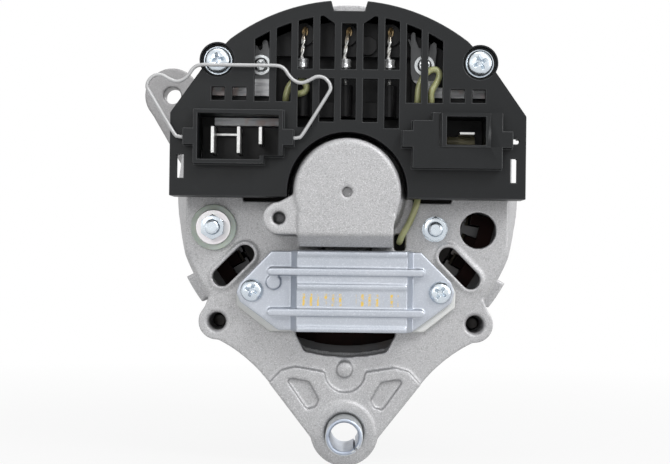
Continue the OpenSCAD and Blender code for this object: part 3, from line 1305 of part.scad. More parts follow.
// Translucent collar washer round the large stud, with its bush through the bracket
module terminal_insulator() color([0.82, 0.88, 0.76]) difference() {
    union() {
        rod(w_insulator_r, w_washer_y + seat, rear_y - seat, w_at);
        rod(w_hole_r - seat, rear_y - 0.5, rear_y + cast_wall + 0.3, w_at);
        rod(w_hole_r + 1.6, rear_y + cast_wall + seat, rear_y + cast_wall + 1.2 - seat, w_at);
    }
    rod(w_stud_d / 2 + seat, w_washer_y - over, rear_y + cast_wall + 3, w_at);
}
module terminal_nuts() color([0.72, 0.76, 0.78]) {
    hex_nut(w_nut_af, w_nut_y - w_nut_h, w_nut_y + 0.01, w_at, w_stud_d / 2 + seat);
    hex_nut(e_nut_af, rear_y - 1.1 - e_nut_h, rear_y - 1.09, e_at, e_stud_d / 2 + seat);
    difference() {
        union() {
            rod(6.3, w_nut_y, w_washer_y, w_at);
            rod(4.6, rear_y - 1.1, rear_y - seat, e_at);
        }
        rod(w_stud_d / 2 + seat, w_nut_y - over, w_washer_y + over, w_at);
        rod(e_stud_d / 2 + seat, rear_y - 3, rear_y + over, e_at);
    }
}

rear_bracket();
pivot_sleeve();
front_bracket();
stator_core();
winding_phase_a();
winding_phase_b();
winding_phase_c();
slot_wedges();
through_bolts();
front_bearing_outer();
front_bearing_inner();
front_bearing_balls();
front_bearing_cage();
bearing_retainer();
retainer_screws();
rear_bearing_outer();
rear_bearing_inner();
rear_bearing_balls();
rear_bearing_cage();
shaft();
claw_pole_front();
claw_pole_rear();
rotor_core();
coil_bobbin();
field_coil();
slip_ring_sleeve();
slip_rings();
bearing_collar();
fan();
pulley_spacer();
pulley_rear_half();
pulley_front_half();
shaft_key();
lock_washer();
pulley_nut();
brush_holder();
brush_inner();
brush_outer();
brush_spring_inner();
brush_spring_outer();
regulator_base();
regulator_body();
regulator_screws();
heatsink_negative();
heatsink_positive();
heatsink_spacers();
diodes();
diode_leads();
phase_terminals();
terminal_screws();
bus_bar();
blade_carrier();
plug_blades();
sleeved_leads();
rectifier_cover();
cover_screws();
plug_bail();
terminal_studs();
terminal_insulator();
terminal_nuts();
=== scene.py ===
"""Looks for a belt-driven alternator: finished surfaces, fasteners, leads and a small studio."""
import json
import math

import bmesh
import bpy
import numpy as np
from mathutils import Matrix, Vector


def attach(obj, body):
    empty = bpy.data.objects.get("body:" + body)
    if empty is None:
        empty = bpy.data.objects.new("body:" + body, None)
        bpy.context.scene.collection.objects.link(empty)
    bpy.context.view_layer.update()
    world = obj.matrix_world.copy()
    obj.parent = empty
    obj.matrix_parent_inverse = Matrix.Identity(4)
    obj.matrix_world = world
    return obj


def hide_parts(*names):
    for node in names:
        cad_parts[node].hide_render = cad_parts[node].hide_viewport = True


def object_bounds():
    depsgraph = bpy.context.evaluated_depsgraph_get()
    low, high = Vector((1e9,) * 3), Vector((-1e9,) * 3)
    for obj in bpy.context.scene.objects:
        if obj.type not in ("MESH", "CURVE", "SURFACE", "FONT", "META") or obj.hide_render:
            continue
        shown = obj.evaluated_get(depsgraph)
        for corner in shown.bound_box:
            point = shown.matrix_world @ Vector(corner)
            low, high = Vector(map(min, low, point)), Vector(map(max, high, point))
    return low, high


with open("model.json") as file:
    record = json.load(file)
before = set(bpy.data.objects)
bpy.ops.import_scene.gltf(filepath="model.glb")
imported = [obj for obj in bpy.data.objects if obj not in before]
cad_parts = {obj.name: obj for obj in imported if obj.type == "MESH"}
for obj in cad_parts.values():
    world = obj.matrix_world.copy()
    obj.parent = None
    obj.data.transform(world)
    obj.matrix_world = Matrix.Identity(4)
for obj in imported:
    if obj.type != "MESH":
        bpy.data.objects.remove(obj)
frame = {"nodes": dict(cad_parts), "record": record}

bl_info = {
    "name": "Alternator looks",
    "version": (1, 0, 0),
    "blender": (4, 5, 0),
    "location": "View3D > Sidebar > Alternator",
    "description": "Finishes the alternator's solids and sets up the studio",
    "category": "Object",
}

MM = 0.001
RECORD = frame["record"]
BODY_OF = {name: body for body, names in RECORD["behaviour"]["bodies"].items() for name in names}
SLOT_OF = {row["node"]: row["material_slot"] for row in RECORD["subparts"]}
CAD_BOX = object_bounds()
FINISHES = {}

# Places on the object, in millimetres
PIVOT_X, PIVOT_Z = 0.0, -86.0
BAIL_HINGE = (-38.4, -137.2, 18.5)
LEFT_STUD, RIGHT_STUD = (-48.1, -12.7), (31.8, -12.5)
NUT_WASHER_FROM = -118.65
ROD_RADIUS = 2.5
BOLTS_OUT = 66.0
# Behind this depth the through bolts take the dark rotor iron finish, as painted shade in the lobe holes
BOLT_PAINTED_SHADE_TO = -97.0
DIODE_Y = -127.0
DIODES = ((-16.3, 0.7), (-1.1, 1.2), (14.5, 0.4))

# How meshes are cleaned, in metres and degrees
WELD, COLLAPSE, NO_LENGTH = 2e-6, 1e-6, 1e-9
FLAT_WITHIN = 0.6
CREASE, THREAD_CREASE = 38.0, 25.0

# Triangles that the castings may have, and the pieces with an edge of their own, in millimetres
TRIANGLES = {"rear_bracket": 195000, "front_bracket": 150000, "regulator_body": 120000}
OWN_EDGE = {"pivot_sleeve": 0.35, "terminal_nuts": 0.25, "terminal_insulator": 0.35, "diodes": 0.3}
REAR_DETAIL = 0.75
REGULATOR_DETAIL = 0.32


# Finishes

class Recipe:
    """One finish, built from nodes that read Object coordinates."""

    def __init__(self, name, colour, metallic=0.0, roughness=0.5, specular=0.5):
        self.material = bpy.data.materials.new(name)
        self.material.use_nodes = True
        self.nodes = self.material.node_tree.nodes
        self.links = self.material.node_tree.links
        self.surface = self.nodes["Principled BSDF"]
        for key, value in (("Base Color", (*colour, 1)), ("Metallic", metallic), ("Roughness", roughness),
                           ("Specular IOR Level", specular)):
            self.surface.inputs[key].default_value = value
        self.place = self.nodes.new("ShaderNodeTexCoord").outputs["Object"]
        self.painted = colour
        self.normal = None

    def node(self, kind, values=None, **settings):
        made = self.nodes.new(kind)
        for key, value in settings.items():
            setattr(made, key, value)
        for key, value in (values or {}).items():
            if isinstance(value, bpy.types.NodeSocket):
                self.links.new(value, made.inputs[key])
            else:
                made.inputs[key].default_value = value
        return made

    def noise(self, per_metre, detail=3.0, roughness=0.55, stretch=None):
        place = self.place
        if stretch:
            place = self.node("ShaderNodeMapping", {"Vector": place, "Scale": stretch}).outputs[0]
        return self.node("ShaderNodeTexNoise", {"Vector": place, "Scale": per_metre, "Detail": detail,
                                                "Roughness": roughness}).outputs[0]

    def specks(self, per_metre, size):
        """One inside small round specks, zero between them."""
        cells = self.node("ShaderNodeTexVoronoi", {"Vector": self.place, "Scale": per_metre})
        return self.span(cells.outputs["Distance"], size, size * 0.6)

    def span(self, value, low, high, to_low=0.0, to_high=1.0):
        values = {0: value, 1: low, 2: high, 3: to_low, 4: to_high}
        return self.node("ShaderNodeMapRange", values).outputs[0]

    def maths(self, kind, a, b=0.0):
        return self.node("ShaderNodeMath", {0: a, 1: b}, operation=kind).outputs[0]

    def wave(self, value, step):
        """A wave that comes back after each step, in metres."""
        return self.maths("SINE", self.maths("MULTIPLY", value, 2 * math.pi / step))

    def axis(self, letter):
        return self.node("ShaderNodeSeparateXYZ", {0: self.place}).outputs["XYZ".index(letter)]

    def mixed(self, share, a, b):
        values = {0: share, 6: a if isinstance(a, bpy.types.NodeSocket) else (*a, 1),
                  7: b if isinstance(b, bpy.types.NodeSocket) else (*b, 1)}
        return self.node("ShaderNodeMix", values, data_type="RGBA").outputs[2]

    def paint(self, share, colour):
        """Lays a colour over what is there, where share is one."""
        self.painted = self.mixed(share, self.painted, colour)
        self.links.new(self.painted, self.surface.inputs["Base Color"])

    def mottle(self, noise, span, colour):
        """Lays a colour over part of the surface, by a noise and the stretch of it that shows."""
        self.paint(self.span(self.noise(*noise), *span), colour)

    def vary_roughness(self, noise, low, high):
        rough = self.span(self.noise(*noise), 0.0, 1.0, low, high)
        self.links.new(rough, self.surface.inputs["Roughness"])

    def grain(self, noise, depth, strength):
        self.bump(self.noise(*noise), depth, strength)

    def bump(self, height, depth, strength=1.0):
        values = {"Height": height, "Distance": depth, "Strength": strength}
        if self.normal:
            values["Normal"] = self.normal
        self.normal = self.node("ShaderNodeBump", values).outputs[0]
        self.links.new(self.normal, self.surface.inputs["Normal"])

    def within(self, value, low, high, blur=0.08):
        """One where a coordinate lies between two lengths in millimetres."""
        rise = self.span(value, (low - blur) * MM, (low + blur) * MM)
        fall = self.span(value, (high - blur) * MM, (high + blur) * MM, 1.0, 0.0)
        return self.maths("MULTIPLY", rise, fall)

    def turned_rings(self, step):
        """Turned rings round the shaft, as a wave height."""
        flat = self.node("ShaderNodeCombineXYZ", {0: self.axis("X"), 2: self.axis("Z")}).outputs[0]
        radius = self.node("ShaderNodeVectorMath", {0: flat}, operation="LENGTH").outputs["Value"]
        return self.wave(radius, step)


def shade(colour, factor):
    """A darker or paler colour."""
    return tuple(min(1.0, c * factor) for c in colour)


FRONT_CASTING_FROM = (-0.066, -0.058)


def cast_aluminium():
    """Cast metal with bright and dark specks, darker towards the front, from the front bracket on."""
    made = Recipe("cast_aluminium", (0.465, 0.465, 0.474), metallic=0.55, roughness=0.48)
    made.mottle((45.0, 5.0, 0.6), (0.40, 0.66), (0.435, 0.435, 0.445))
    made.mottle((2600.0, 2.0, 0.7), (0.5, 0.68, 0.0, 0.8), (0.72, 0.72, 0.73))
    made.mottle((1900.0, 2.0, 0.7), (0.52, 0.7, 0.0, 0.7), (0.27, 0.27, 0.275))
    # Darker grey towards the front, along Y, from the front bracket on
    far = made.span(made.axis("Y"), *FRONT_CASTING_FROM, 0.0, 0.7)
    made.paint(far, (0.26, 0.255, 0.257))
    made.vary_roughness((600.0, 3.0), 0.38, 0.56)
    made.grain((300.0, 4.0, 0.6), 0.00014, 0.5)
    made.grain((2400.0, 3.0, 0.7), 0.00011, 0.7)
    return made.material


def plated(name, colour, tint, roughness=0.3, metallic=0.95, grain=0.5):
    made = Recipe(name, colour, metallic=metallic, roughness=roughness)
    made.mottle((160.0, 3.0), (0.4, 0.68), tint)
    made.vary_roughness((700.0, 3.0), roughness - 0.08, roughness + 0.14)
    made.grain((1500.0, 3.0, 0.6), 0.00003, grain)
    return made.material


SHEET_STEP = 0.0007


def lamination():
    made = Recipe("lamination", (0.22, 0.22, 0.225), metallic=0.8, roughness=0.45)
    line = made.wave(made.axis("Y"), SHEET_STEP)
    made.paint(made.span(line, 0.55, 1.0), (0.10, 0.10, 0.10))
    made.mottle((90.0,), (0.5, 0.7, 0.0, 0.5), (0.24, 0.19, 0.15))
    made.bump(line, 0.00006, 0.8)
    return made.material


TURNING_DEPTH = 0.000012


def turned_steel(name, colour, roughness, step=0.0004):
    made = Recipe(name, colour, metallic=0.9, roughness=roughness)
    grooves = made.wave(made.axis("Y"), step)
    made.bump(made.maths("ADD", made.turned_rings(step), grooves), TURNING_DEPTH, 0.7)
    made.mottle((120.0,), (0.42, 0.7, 0.0, 0.7), shade(colour, 0.75))
    return made.material


def enamelled_copper():
    # The enamel is taken nearly to black: its own dark red-brown, and painted shade for the windings deep
    # in the slots
    made = Recipe("enamelled_copper", (0.014, 0.004, 0.003), metallic=0.3, roughness=0.45, specular=0.1)
    made.mottle((220.0, 3.0), (0.4, 0.7), (0.007, 0.003, 0.0025))
    made.grain((900.0,), 0.00005, 0.5)
    return made.material


def moulded(name, colour, roughness=0.45, scuff=0.35, specular=0.5):
    """Plastic or paint with a fine grain and paler scuffs."""
    made = Recipe(name, colour, roughness=roughness, specular=specular)
    made.grain((2600.0, 2.0, 0.6), 0.00003, 0.6)
    made.grain((110.0, 3.0), 0.0002, 0.12)
    made.vary_roughness((180.0, 4.0), roughness - 0.1, roughness + 0.12)
    made.mottle((330.0, 5.0, 0.7), (0.56, 0.8, 0.0, scuff), shade(colour, 1.8))
    return made.material


def carbon():
    made = Recipe("carbon", (0.035, 0.034, 0.033), metallic=0.25, roughness=0.5)
    made.paint(made.specks(2200.0, 0.2), (0.12, 0.07, 0.045))
    made.grain((1800.0,), 0.00004, 0.6)
    return made.material


# The ink's place on the regulator, in millimetres, and its strokes' spacing, in metres
INK_GROUPS = ((-15.4, -9.6), (-8.0, -0.4), (3.6, 13.2), (15.2, 18.6))
INK_HEIGHT = (-40.3, -36.0)
INK_DEPTH = (-135.0, -124.0)
INK_STEP = 0.0026


def regulator_metal():
    """Pale cast metal with rows of plain ink strokes."""
    made = Recipe("regulator_metal", (0.50, 0.53, 0.585), metallic=0.7, roughness=0.36)
    made.mottle((40.0, 4.0), (0.42, 0.66), (0.44, 0.475, 0.53))
    made.mottle((2300.0, 2.0, 0.7), (0.52, 0.7, 0.0, 0.6), (0.66, 0.69, 0.74))
    x, y, z = made.axis("X"), made.axis("Y"), made.axis("Z")
    ink = made.maths("MULTIPLY", made.span(made.wave(x, INK_STEP), 0.35, 0.55), made.within(z, *INK_HEIGHT))
    ink = made.maths("MULTIPLY", ink, made.within(y, *INK_DEPTH))
    groups = made.within(x, *INK_GROUPS[0])
    for low, high in INK_GROUPS[1:]:
        groups = made.maths("ADD", groups, made.within(x, low, high))
    edge_wear_and_highlight = made.span(made.noise(900.0, 4.0, 0.7), 0.42, 0.56)
    ink = made.maths("MULTIPLY", made.maths("MULTIPLY", ink, groups), edge_wear_and_highlight)
    made.paint(ink, (0.80, 0.55, 0.10))
    made.bump(made.noise(240.0, 3.0, 0.6, stretch=(1.0, 1.0, 9.0)), 0.00003, 0.35)
    made.grain((1900.0, 3.0, 0.7), 0.00006, 0.6)
    made.vary_roughness((500.0, 3.0), 0.3, 0.46)
    return made.material


BRUSHING_SLANT = 0.95
TERMINAL_DULL_ABOVE = 40.2


def bright_tin(name, dull_above=None):
    """Tinned strip, near white and not metal as painted light, brushed on the slant and tinted by heat,
    painted a dull grey above a height if one is given.
    """
    # The near-white, non-metal base is painted light, so the tin looks lit deep in its socket
    made = Recipe(name, (0.97, 0.98, 1.0), metallic=0.0, roughness=0.32)
    values = {"Vector": made.place, "Rotation": (0.0, BRUSHING_SLANT, 0.0), "Scale": (0.12, 1.0, 1.0)}
    slant = made.node("ShaderNodeMapping", values).outputs[0]
    marks = made.node("ShaderNodeTexNoise", {"Vector": slant, "Scale": 700.0, "Detail": 2.0}).outputs[0]
    made.paint(made.span(marks, 0.46, 0.60, 0.0, 0.6), (0.50, 0.51, 0.54))
    made.mottle((130.0, 2.0), (0.52, 0.64, 0.0, 0.7), (0.80, 0.62, 0.58))
    if dull_above:
        dull = made.span(made.axis("Z"), (dull_above - 0.2) * MM, (dull_above + 0.2) * MM)
        made.paint(dull, (0.16, 0.165, 0.17))
    made.bump(marks, 0.00005, 0.6)
    return made.material


BROWNED_FROM = (0.0535, 0.0565)


def lead_wire():
    """Bright wire, browned at its hooked end."""
    made = Recipe("lead_wire", (0.86, 0.86, 0.84), metallic=0.6, roughness=0.26)
    made.mottle((400.0, 3.0), (0.5, 0.7, 0.0, 0.6), (0.60, 0.52, 0.38))
    made.paint(made.span(made.axis("Z"), *BROWNED_FROM), (0.50, 0.36, 0.19))
    made.grain((1500.0,), 0.00003, 0.4)
    return made.material


def lead_sleeving():
    made = Recipe("lead_sleeving", (0.60, 0.60, 0.30), roughness=0.38)
    made.surface.inputs["Coat Weight"].default_value = 0.4
    made.surface.inputs["Subsurface Weight"].default_value = 0.08
    made.mottle((240.0, 3.0), (0.42, 0.7), (0.50, 0.49, 0.22))
    made.grain((1400.0,), 0.00005, 0.5)
    return made.material


def clear_nylon():
    made = Recipe("clear_nylon", (0.82, 0.86, 0.78), roughness=0.32)
    made.surface.inputs["Transmission Weight"].default_value = 0.25
    made.surface.inputs["IOR"].default_value = 1.45
    made.surface.inputs["Subsurface Weight"].default_value = 0.15
    made.mottle((300.0,), (0.4, 0.7), (0.74, 0.80, 0.67))
    made.grain((800.0,), 0.00004, 0.4)
    return made.material


# Colour, tint, roughness, metallic and grain
PLATED = {
    "zinc_plated": ((0.66, 0.68, 0.69), (0.54, 0.57, 0.58)),
    "blue_zinc": ((0.66, 0.72, 0.77), (0.58, 0.64, 0.71), 0.22, 0.9, 0.15),
    "polished_steel": ((0.66, 0.66, 0.67), (0.58, 0.58, 0.59), 0.16),
    "brass_cage": ((0.62, 0.45, 0.18), (0.5, 0.35, 0.13), 0.35),
    "fan_steel": ((0.52, 0.53, 0.54), (0.42, 0.43, 0.45), 0.38),
    "tinned_copper": ((0.80, 0.81, 0.80), (0.62, 0.62, 0.61), 0.3, 0.7),
    "sleeve_end": ((0.44, 0.49, 0.57), (0.34, 0.38, 0.46), 0.32, 0.8),
    "solder": ((0.90, 0.91, 0.92), (0.74, 0.75, 0.77), 0.22, 0.6),
    "passivated_washer": ((0.70, 0.67, 0.69), (0.66, 0.67, 0.66), 0.34),
    "spring_wire": ((0.50, 0.505, 0.51), (0.46, 0.46, 0.465), 0.42, 0.45, 0.2),
}
# Colour, roughness and the turning's step
TURNED = {
    "bearing_steel": ((0.56, 0.56, 0.57), 0.22),
    # Dark iron, taken darker still: its own colour, and painted shade where the claws show deep through the
    # slots
    "rotor_iron": ((0.06, 0.057, 0.055), 0.45, 0.0006),
    "ring_copper": ((0.66, 0.30, 0.16), 0.25, 0.0003),
    "pulley_steel": ((0.5, 0.51, 0.52), 0.3),
}
# Colour, roughness, scuffs and specular
MOULDED = {
    "insulation": ((0.10, 0.075, 0.035), 0.5),
    "dark_plastic": ((0.008, 0.008, 0.009), 0.45, 0.35, 0.3),
    "brown_resin": ((0.13, 0.055, 0.025),),
    "pale_plastic": ((0.84, 0.85, 0.83), 0.5, 0.1),
    "black_anodised": ((0.007, 0.0073, 0.0082), 0.45, 0.35, 0.25),
    "cover_plastic": ((0.0046, 0.0056, 0.0066), 0.42, 0.9, 0.3),
    # Paler and shinier than the cover: painted highlight and wear on the cover's rounded edges
    "cover_edge": ((0.016, 0.0175, 0.019), 0.4, 0.35, 0.45),
    "blade_barrel": ((0.55, 0.50, 0.32), 0.38),
}


def all_finishes():
    """The material of every finish, by name."""
    made = {name: plated(name, *values) for name, values in PLATED.items()}
    made.update((name, turned_steel(name, *values)) for name, values in TURNED.items())
    made.update((name, moulded(name, *values)) for name, values in MOULDED.items())
    for recipe in (cast_aluminium, lamination, enamelled_copper, carbon, regulator_metal, lead_wire,
                   lead_sleeving, clear_nylon):
        made[recipe.__name__] = recipe()
    # The bus bar's tin with painted light, and the terminals' tin, which keeps the painted light only below
    # a height
    made["bright_tin"] = bright_tin("bright_tin")
    made["dull_tin"] = bright_tin("dull_tin", TERMINAL_DULL_ABOVE)
    return made


# Meshes

def placed(name, data):
    """A new object in the scene, at the origin."""
    piece = bpy.data.objects.new(name, data)
    bpy.context.scene.collection.objects.link(piece)
    return piece


def merged_copy(node):
    """A node's mesh with its corners joined and its flat faces whole."""
    mesh = bmesh.new()
    mesh.from_mesh(frame["nodes"][node].data)
    bmesh.ops.remove_doubles(mesh, verts=mesh.verts, dist=WELD)
    bmesh.ops.dissolve_degenerate(mesh, edges=mesh.edges, dist=COLLAPSE)
    bmesh.ops.dissolve_limit(mesh, angle_limit=math.radians(FLAT_WITHIN), verts=mesh.verts,
                             edges=mesh.edges)
    return mesh


ROOM_SHARE = 0.45
NEARLY_STRAIGHT = 0.6


def room_beside(mesh, sharp):
    """How far each sharp edge can be cut back before it meets the next corner."""
    room = {edge: 1.0 for edge in sharp}
    for face in mesh.faces:
        loops = list(face.loops)
        for k, loop in enumerate(loops):
            before, after = loops[k - 1].edge, loop.edge
            here = loop.vert.co
            a = before.other_vert(loop.vert).co - here
            b = after.other_vert(loop.vert).co - here
            if a.length < NO_LENGTH or b.length < NO_LENGTH:
                continue
            sine = a.normalized().cross(b.normalized()).length
            if a.dot(b) < 0 and sine < NEARLY_STRAIGHT:
                continue
            for edge, side in ((after, a), (before, b)):
                if edge in room:
                    room[edge] = min(room[edge], side.length * sine * ROOM_SHARE)
    return room


SHARP_FROM = 32.0
LEAST_SHARE = 0.12
ROUNDING_TRIES = 6
NEAR_CROSSING = 2.5


def rounded_piece(node, edge, segments=2, edge_wear_and_highlight=None):
    """A copy of a node with its sharp edges rounded, and of another finish there if one is given, which
    paints wear and a highlight on the edges.
    """
    mesh = merged_copy(node)
    limit = math.radians(SHARP_FROM)
    layer = mesh.edges.layers.float.new("bevel_weight_edge")
    sharp = [e for e in mesh.edges if len(e.link_faces) == 2 and e.calc_face_angle(0.0) > limit]
    for e, space in room_beside(mesh, sharp).items():
        weight = min(1.0, space / edge)
        e[layer] = weight if weight > LEAST_SHARE else 0.0
        e.smooth = False
    for face in mesh.faces:
        face.smooth = True
    data = bpy.data.meshes.new(node + "_finished")
    piece = placed(data.name, data)
    bevel = piece.modifiers.new("rounded edges", "BEVEL")
    # The rounded faces take the other finish: painted highlight and wear on the edges
    if edge_wear_and_highlight:
        data.materials.append(FINISHES[SLOT_OF[node]])
        data.materials.append(FINISHES[edge_wear_and_highlight])
        bevel.material = 1
    bevel.width = edge
    bevel.segments = segments
    bevel.limit_method = "WEIGHT"
    bevel.use_clamp_overlap = False
    bevel.harden_normals = True
    for _ in range(ROUNDING_TRIES):
        mesh.to_mesh(data)
        bad = crossings(piece)
        if not bad:
            break
        for e in mesh.edges:
            if e[layer] > 0 and any(gap_to(e, place) < NEAR_CROSSING * edge for place in bad):
                e[layer] = 0.0
    mesh.free()
    return settled(piece)


def gap_to(edge, place):
    """How far a place is from an edge."""
    a, b = edge.verts[0].co, edge.verts[1].co
    along = b - a
    share = max(0.0, min(1.0, (place - a).dot(along) / max(along.length_squared, 1e-18)))
    return (a + along * share - place).length


def side_of(start, along, place):
    """On which side of each edge of a face each place lies, as an area."""
    dx = place[None, :, 0] - start[:, None, 0]
    dy = place[None, :, 1] - start[:, None, 1]
    return along[:, None, 0] * dy - along[:, None, 1] * dx


LEAST_AREA = 1e-11


def crossings(piece):
    """Places where the outline of one of the piece's faces crosses itself."""
    bpy.context.view_layer.update()
    graph = bpy.context.evaluated_depsgraph_get()
    mesh = piece.evaluated_get(graph).to_mesh()
    corners = np.empty(len(mesh.vertices) * 3)
    mesh.vertices.foreach_get("co", corners)
    corners = corners.reshape(-1, 3)
    found = []
    for face in mesh.polygons:
        count = face.loop_total
        if count <= 4:
            continue
        ring = corners[list(face.vertices)]
        keep = [k for k in range(3) if k != int(np.argmax(np.abs(face.normal)))]
        p = ring[:, keep]
        q = np.roll(p, -1, axis=0)
        side_p, side_q = side_of(p, q - p, p), side_of(p, q - p, q)
        cut = (side_p > LEAST_AREA) & (side_q < -LEAST_AREA)
        cut |= (side_p < -LEAST_AREA) & (side_q > LEAST_AREA)
        cut &= cut.T
        for i, j in zip(*np.nonzero(np.triu(cut))):
            if 1 < j - i < count - 1:
                found += [Vector((ring[k] + ring[(k + 1) % count]) / 2) for k in (i, j)]
    piece.evaluated_get(graph).to_mesh_clear()
    return found


def cast_piece(node, voxel, turned=(), passes=3):
    """A copy of a casting with its edges softly rounded. Small turned shapes can be cast on."""
    mesh = bmesh.new()
    mesh.from_mesh(frame["nodes"][node].data)
    bmesh.ops.remove_doubles(mesh, verts=mesh.verts, dist=WELD)
    for profile, at in turned:
        lathe(mesh, profile, at, 64)
    data = bpy.data.meshes.new(node + "_finished")
    mesh.to_mesh(data)
    mesh.free()
    piece = placed(data.name, data)
    remesh = piece.modifiers.new("soft", "REMESH")
    remesh.mode = "VOXEL"
    remesh.voxel_size = voxel
    smooth = piece.modifiers.new("rounded", "SMOOTH")
    smooth.factor = 0.5
    smooth.iterations = passes
    settled(piece)
    thin = piece.modifiers.new("thin", "DECIMATE")
    thin.ratio = min(1.0, TRIANGLES[node] / (2.0 * len(piece.data.polygons)))
    settled(piece)
    piece.data.shade_smooth()
    weigh = piece.modifiers.new("flat faces", "WEIGHTED_NORMAL")
    weigh.weight = 80
    return settled(piece)


def settled(piece):
    """The piece with its modifiers made part of its mesh."""
    bpy.context.view_layer.update()
    made = bpy.data.meshes.new_from_object(piece.evaluated_get(bpy.context.evaluated_depsgraph_get()))
    old = piece.data
    piece.modifiers.clear()
    piece.data = made
    made.name = piece.name
    bpy.data.meshes.remove(old)
    return piece


def new_piece(name, mesh, smooth_angle=CREASE):
    """An object from a mesh in code, with faces that point outwards and creases kept sharp."""
    bmesh.ops.remove_doubles(mesh, verts=mesh.verts, dist=1e-7)
    bmesh.ops.recalc_face_normals(mesh, faces=mesh.faces)
    limit = math.radians(smooth_angle)
    for edge in mesh.edges:
        edge.smooth = len(edge.link_faces) != 2 or edge.calc_face_angle(0.0) < limit
    for face in mesh.faces:
        face.smooth = True
    data = bpy.data.meshes.new(name)
    mesh.to_mesh(data)
    mesh.free()
    return placed(name, data)


def add_ring(mesh, points):
    return [mesh.verts.new(p) for p in points]


def join_rings(mesh, first, second):
    count = len(first)
    for k in range(count):
        mesh.faces.new((first[k], first[(k + 1) % count], second[(k + 1) % count], second[k]))


def round_turn(count):
    """Even steps of one whole turn."""
    return [2 * math.pi * k / count for k in range(count)]


def lathe(mesh, profile, at=(0.0, 0.0), segments=48):
    """Adds a shape turned about an axis along Y. The profile is radius and y, in millimetres."""
    x, z = at
    rings = []
    for radius, y in profile:
        if radius <= 0.0:
            rings.append([mesh.verts.new(Vector((x, y, z)) * MM)])
            continue
        rings.append(add_ring(mesh, [Vector((x + radius * math.cos(a), y, z + radius * math.sin(a))) * MM
                                     for a in round_turn(segments)]))
    for first, second in zip(rings, rings[1:]):
        if len(first) == 1 or len(second) == 1:
            tip, ring = (first[0], second) if len(first) == 1 else (second[0], first)
            for k in range(len(ring)):
                mesh.faces.new((tip, ring[k], ring[(k + 1) % len(ring)]))
        else:
            join_rings(mesh, first, second)


def smooth_path(points, per_span):
    """A smooth run of points through the given ones."""
    known = [Vector(p) for p in points]
    known = [known[0] * 2 - known[1]] + known + [known[-1] * 2 - known[-2]]
    out = []
    for a, b, c, d in zip(known, known[1:], known[2:], known[3:]):
        for k in range(per_span):
            s = k / per_span
            out.append(0.5 * ((2 * b) + (c - a) * s + (2 * a - 5 * b + 4 * c - d) * s * s
                              + (3 * b - a - 3 * c + d) * s ** 3))
    out.append(known[-2])
    return out


def frames_along(path):
    """Two directions across the path at each of its points, without twist."""
    neighbours = zip(path[:1] + path, path[1:] + path[-1:])
    tangents = [(after - before).normalized() for before, after in neighbours]
    side = tangents[0].orthogonal().normalized()
    out = []
    for tangent in tangents:
        side = (side - tangent * side.dot(tangent)).normalized()
        out.append((side, tangent.cross(side)))
    return out


def collared_pin(mesh, x, y, rings):
    """Adds a closed round shape about a vertical axis. The rings are height and radius."""
    made = []
    for z, radius in rings:
        made.append(add_ring(mesh, [Vector((x + radius * math.cos(a), y + radius * math.sin(a), z)) * MM
                                    for a in round_turn(24)]))
    for first, second in zip(made, made[1:]):
        join_rings(mesh, first, second)
    for ring in (made[0], made[-1]):
        mesh.faces.new(ring)


def strands(path, lay_r, pitch, count=2):
    """The paths of strands twisted round a path, in millimetres."""
    length = [0.0]
    for a, b in zip(path, path[1:]):
        length.append(length[-1] + (b - a).length)
    across = frames_along(path)
    return [[place + lay_r * (side * math.cos(start + 2 * math.pi * far / pitch)
                              + top * math.sin(start + 2 * math.pi * far / pitch))
             for place, far, (side, top) in zip(path, length, across)]
            for start in round_turn(count)]


def new_tree(name, sockets):
    """A tree with named inputs that ends in Realize Instances and Set Material, and its two ends."""
    tree = bpy.data.node_groups.new(name, "GeometryNodeTree")
    for label, kind in (*sockets, ("Finish", "Material")):
        tree.interface.new_socket(label, in_out="INPUT", socket_type="NodeSocket" + kind)
    tree.interface.new_socket("Pieces", in_out="OUTPUT", socket_type="NodeSocketGeometry")
    add, link = tree.nodes.new, tree.links.new
    given = add("NodeGroupInput").outputs
    real, finish = add("GeometryNodeRealizeInstances"), add("GeometryNodeSetMaterial")
    link(real.outputs[0], finish.inputs["Geometry"])
    link(given["Finish"], finish.inputs["Material"])
    link(finish.outputs[0], add("NodeGroupOutput").inputs[0])
    return tree, given, real.inputs[0]


def sweep_tree():
    """Sweeps a round section along every path of edges."""
    sockets = (("Paths", "Geometry"), ("Radius", "Float"), ("Sides", "Int"))
    tree, given, end = new_tree("round sweep", sockets)
    add, link = tree.nodes.new, tree.links.new
    curve, ring = add("GeometryNodeMeshToCurve"), add("GeometryNodeCurvePrimitiveCircle")
    sweep = add("GeometryNodeCurveToMesh")
    sweep.inputs["Fill Caps"].default_value = True
    link(given["Paths"], curve.inputs["Mesh"])
    link(given["Radius"], ring.inputs["Radius"])
    link(given["Sides"], ring.inputs["Resolution"])
    link(curve.outputs[0], sweep.inputs["Curve"])
    link(ring.outputs[0], sweep.inputs["Profile Curve"])
    link(sweep.outputs[0], end)
    return tree


def swept(name, paths, radius, slot, sides):
    """A round section swept along paths in millimetres, as one plain mesh."""
    tree = bpy.data.node_groups.get("round sweep") or sweep_tree()
    places, edges = [], []
    for path in paths:
        edges += [(len(places) + k, len(places) + k + 1) for k in range(len(path) - 1)]
        places += [place * MM for place in path]
    data = bpy.data.meshes.new(name)
    data.from_pydata(places, edges, [])
    piece = placed(name, data)
    values = {"Radius": radius, "Sides": sides, "Finish": FINISHES[slot]}
    return laid_out(piece, tree, values, len(paths) * sides)


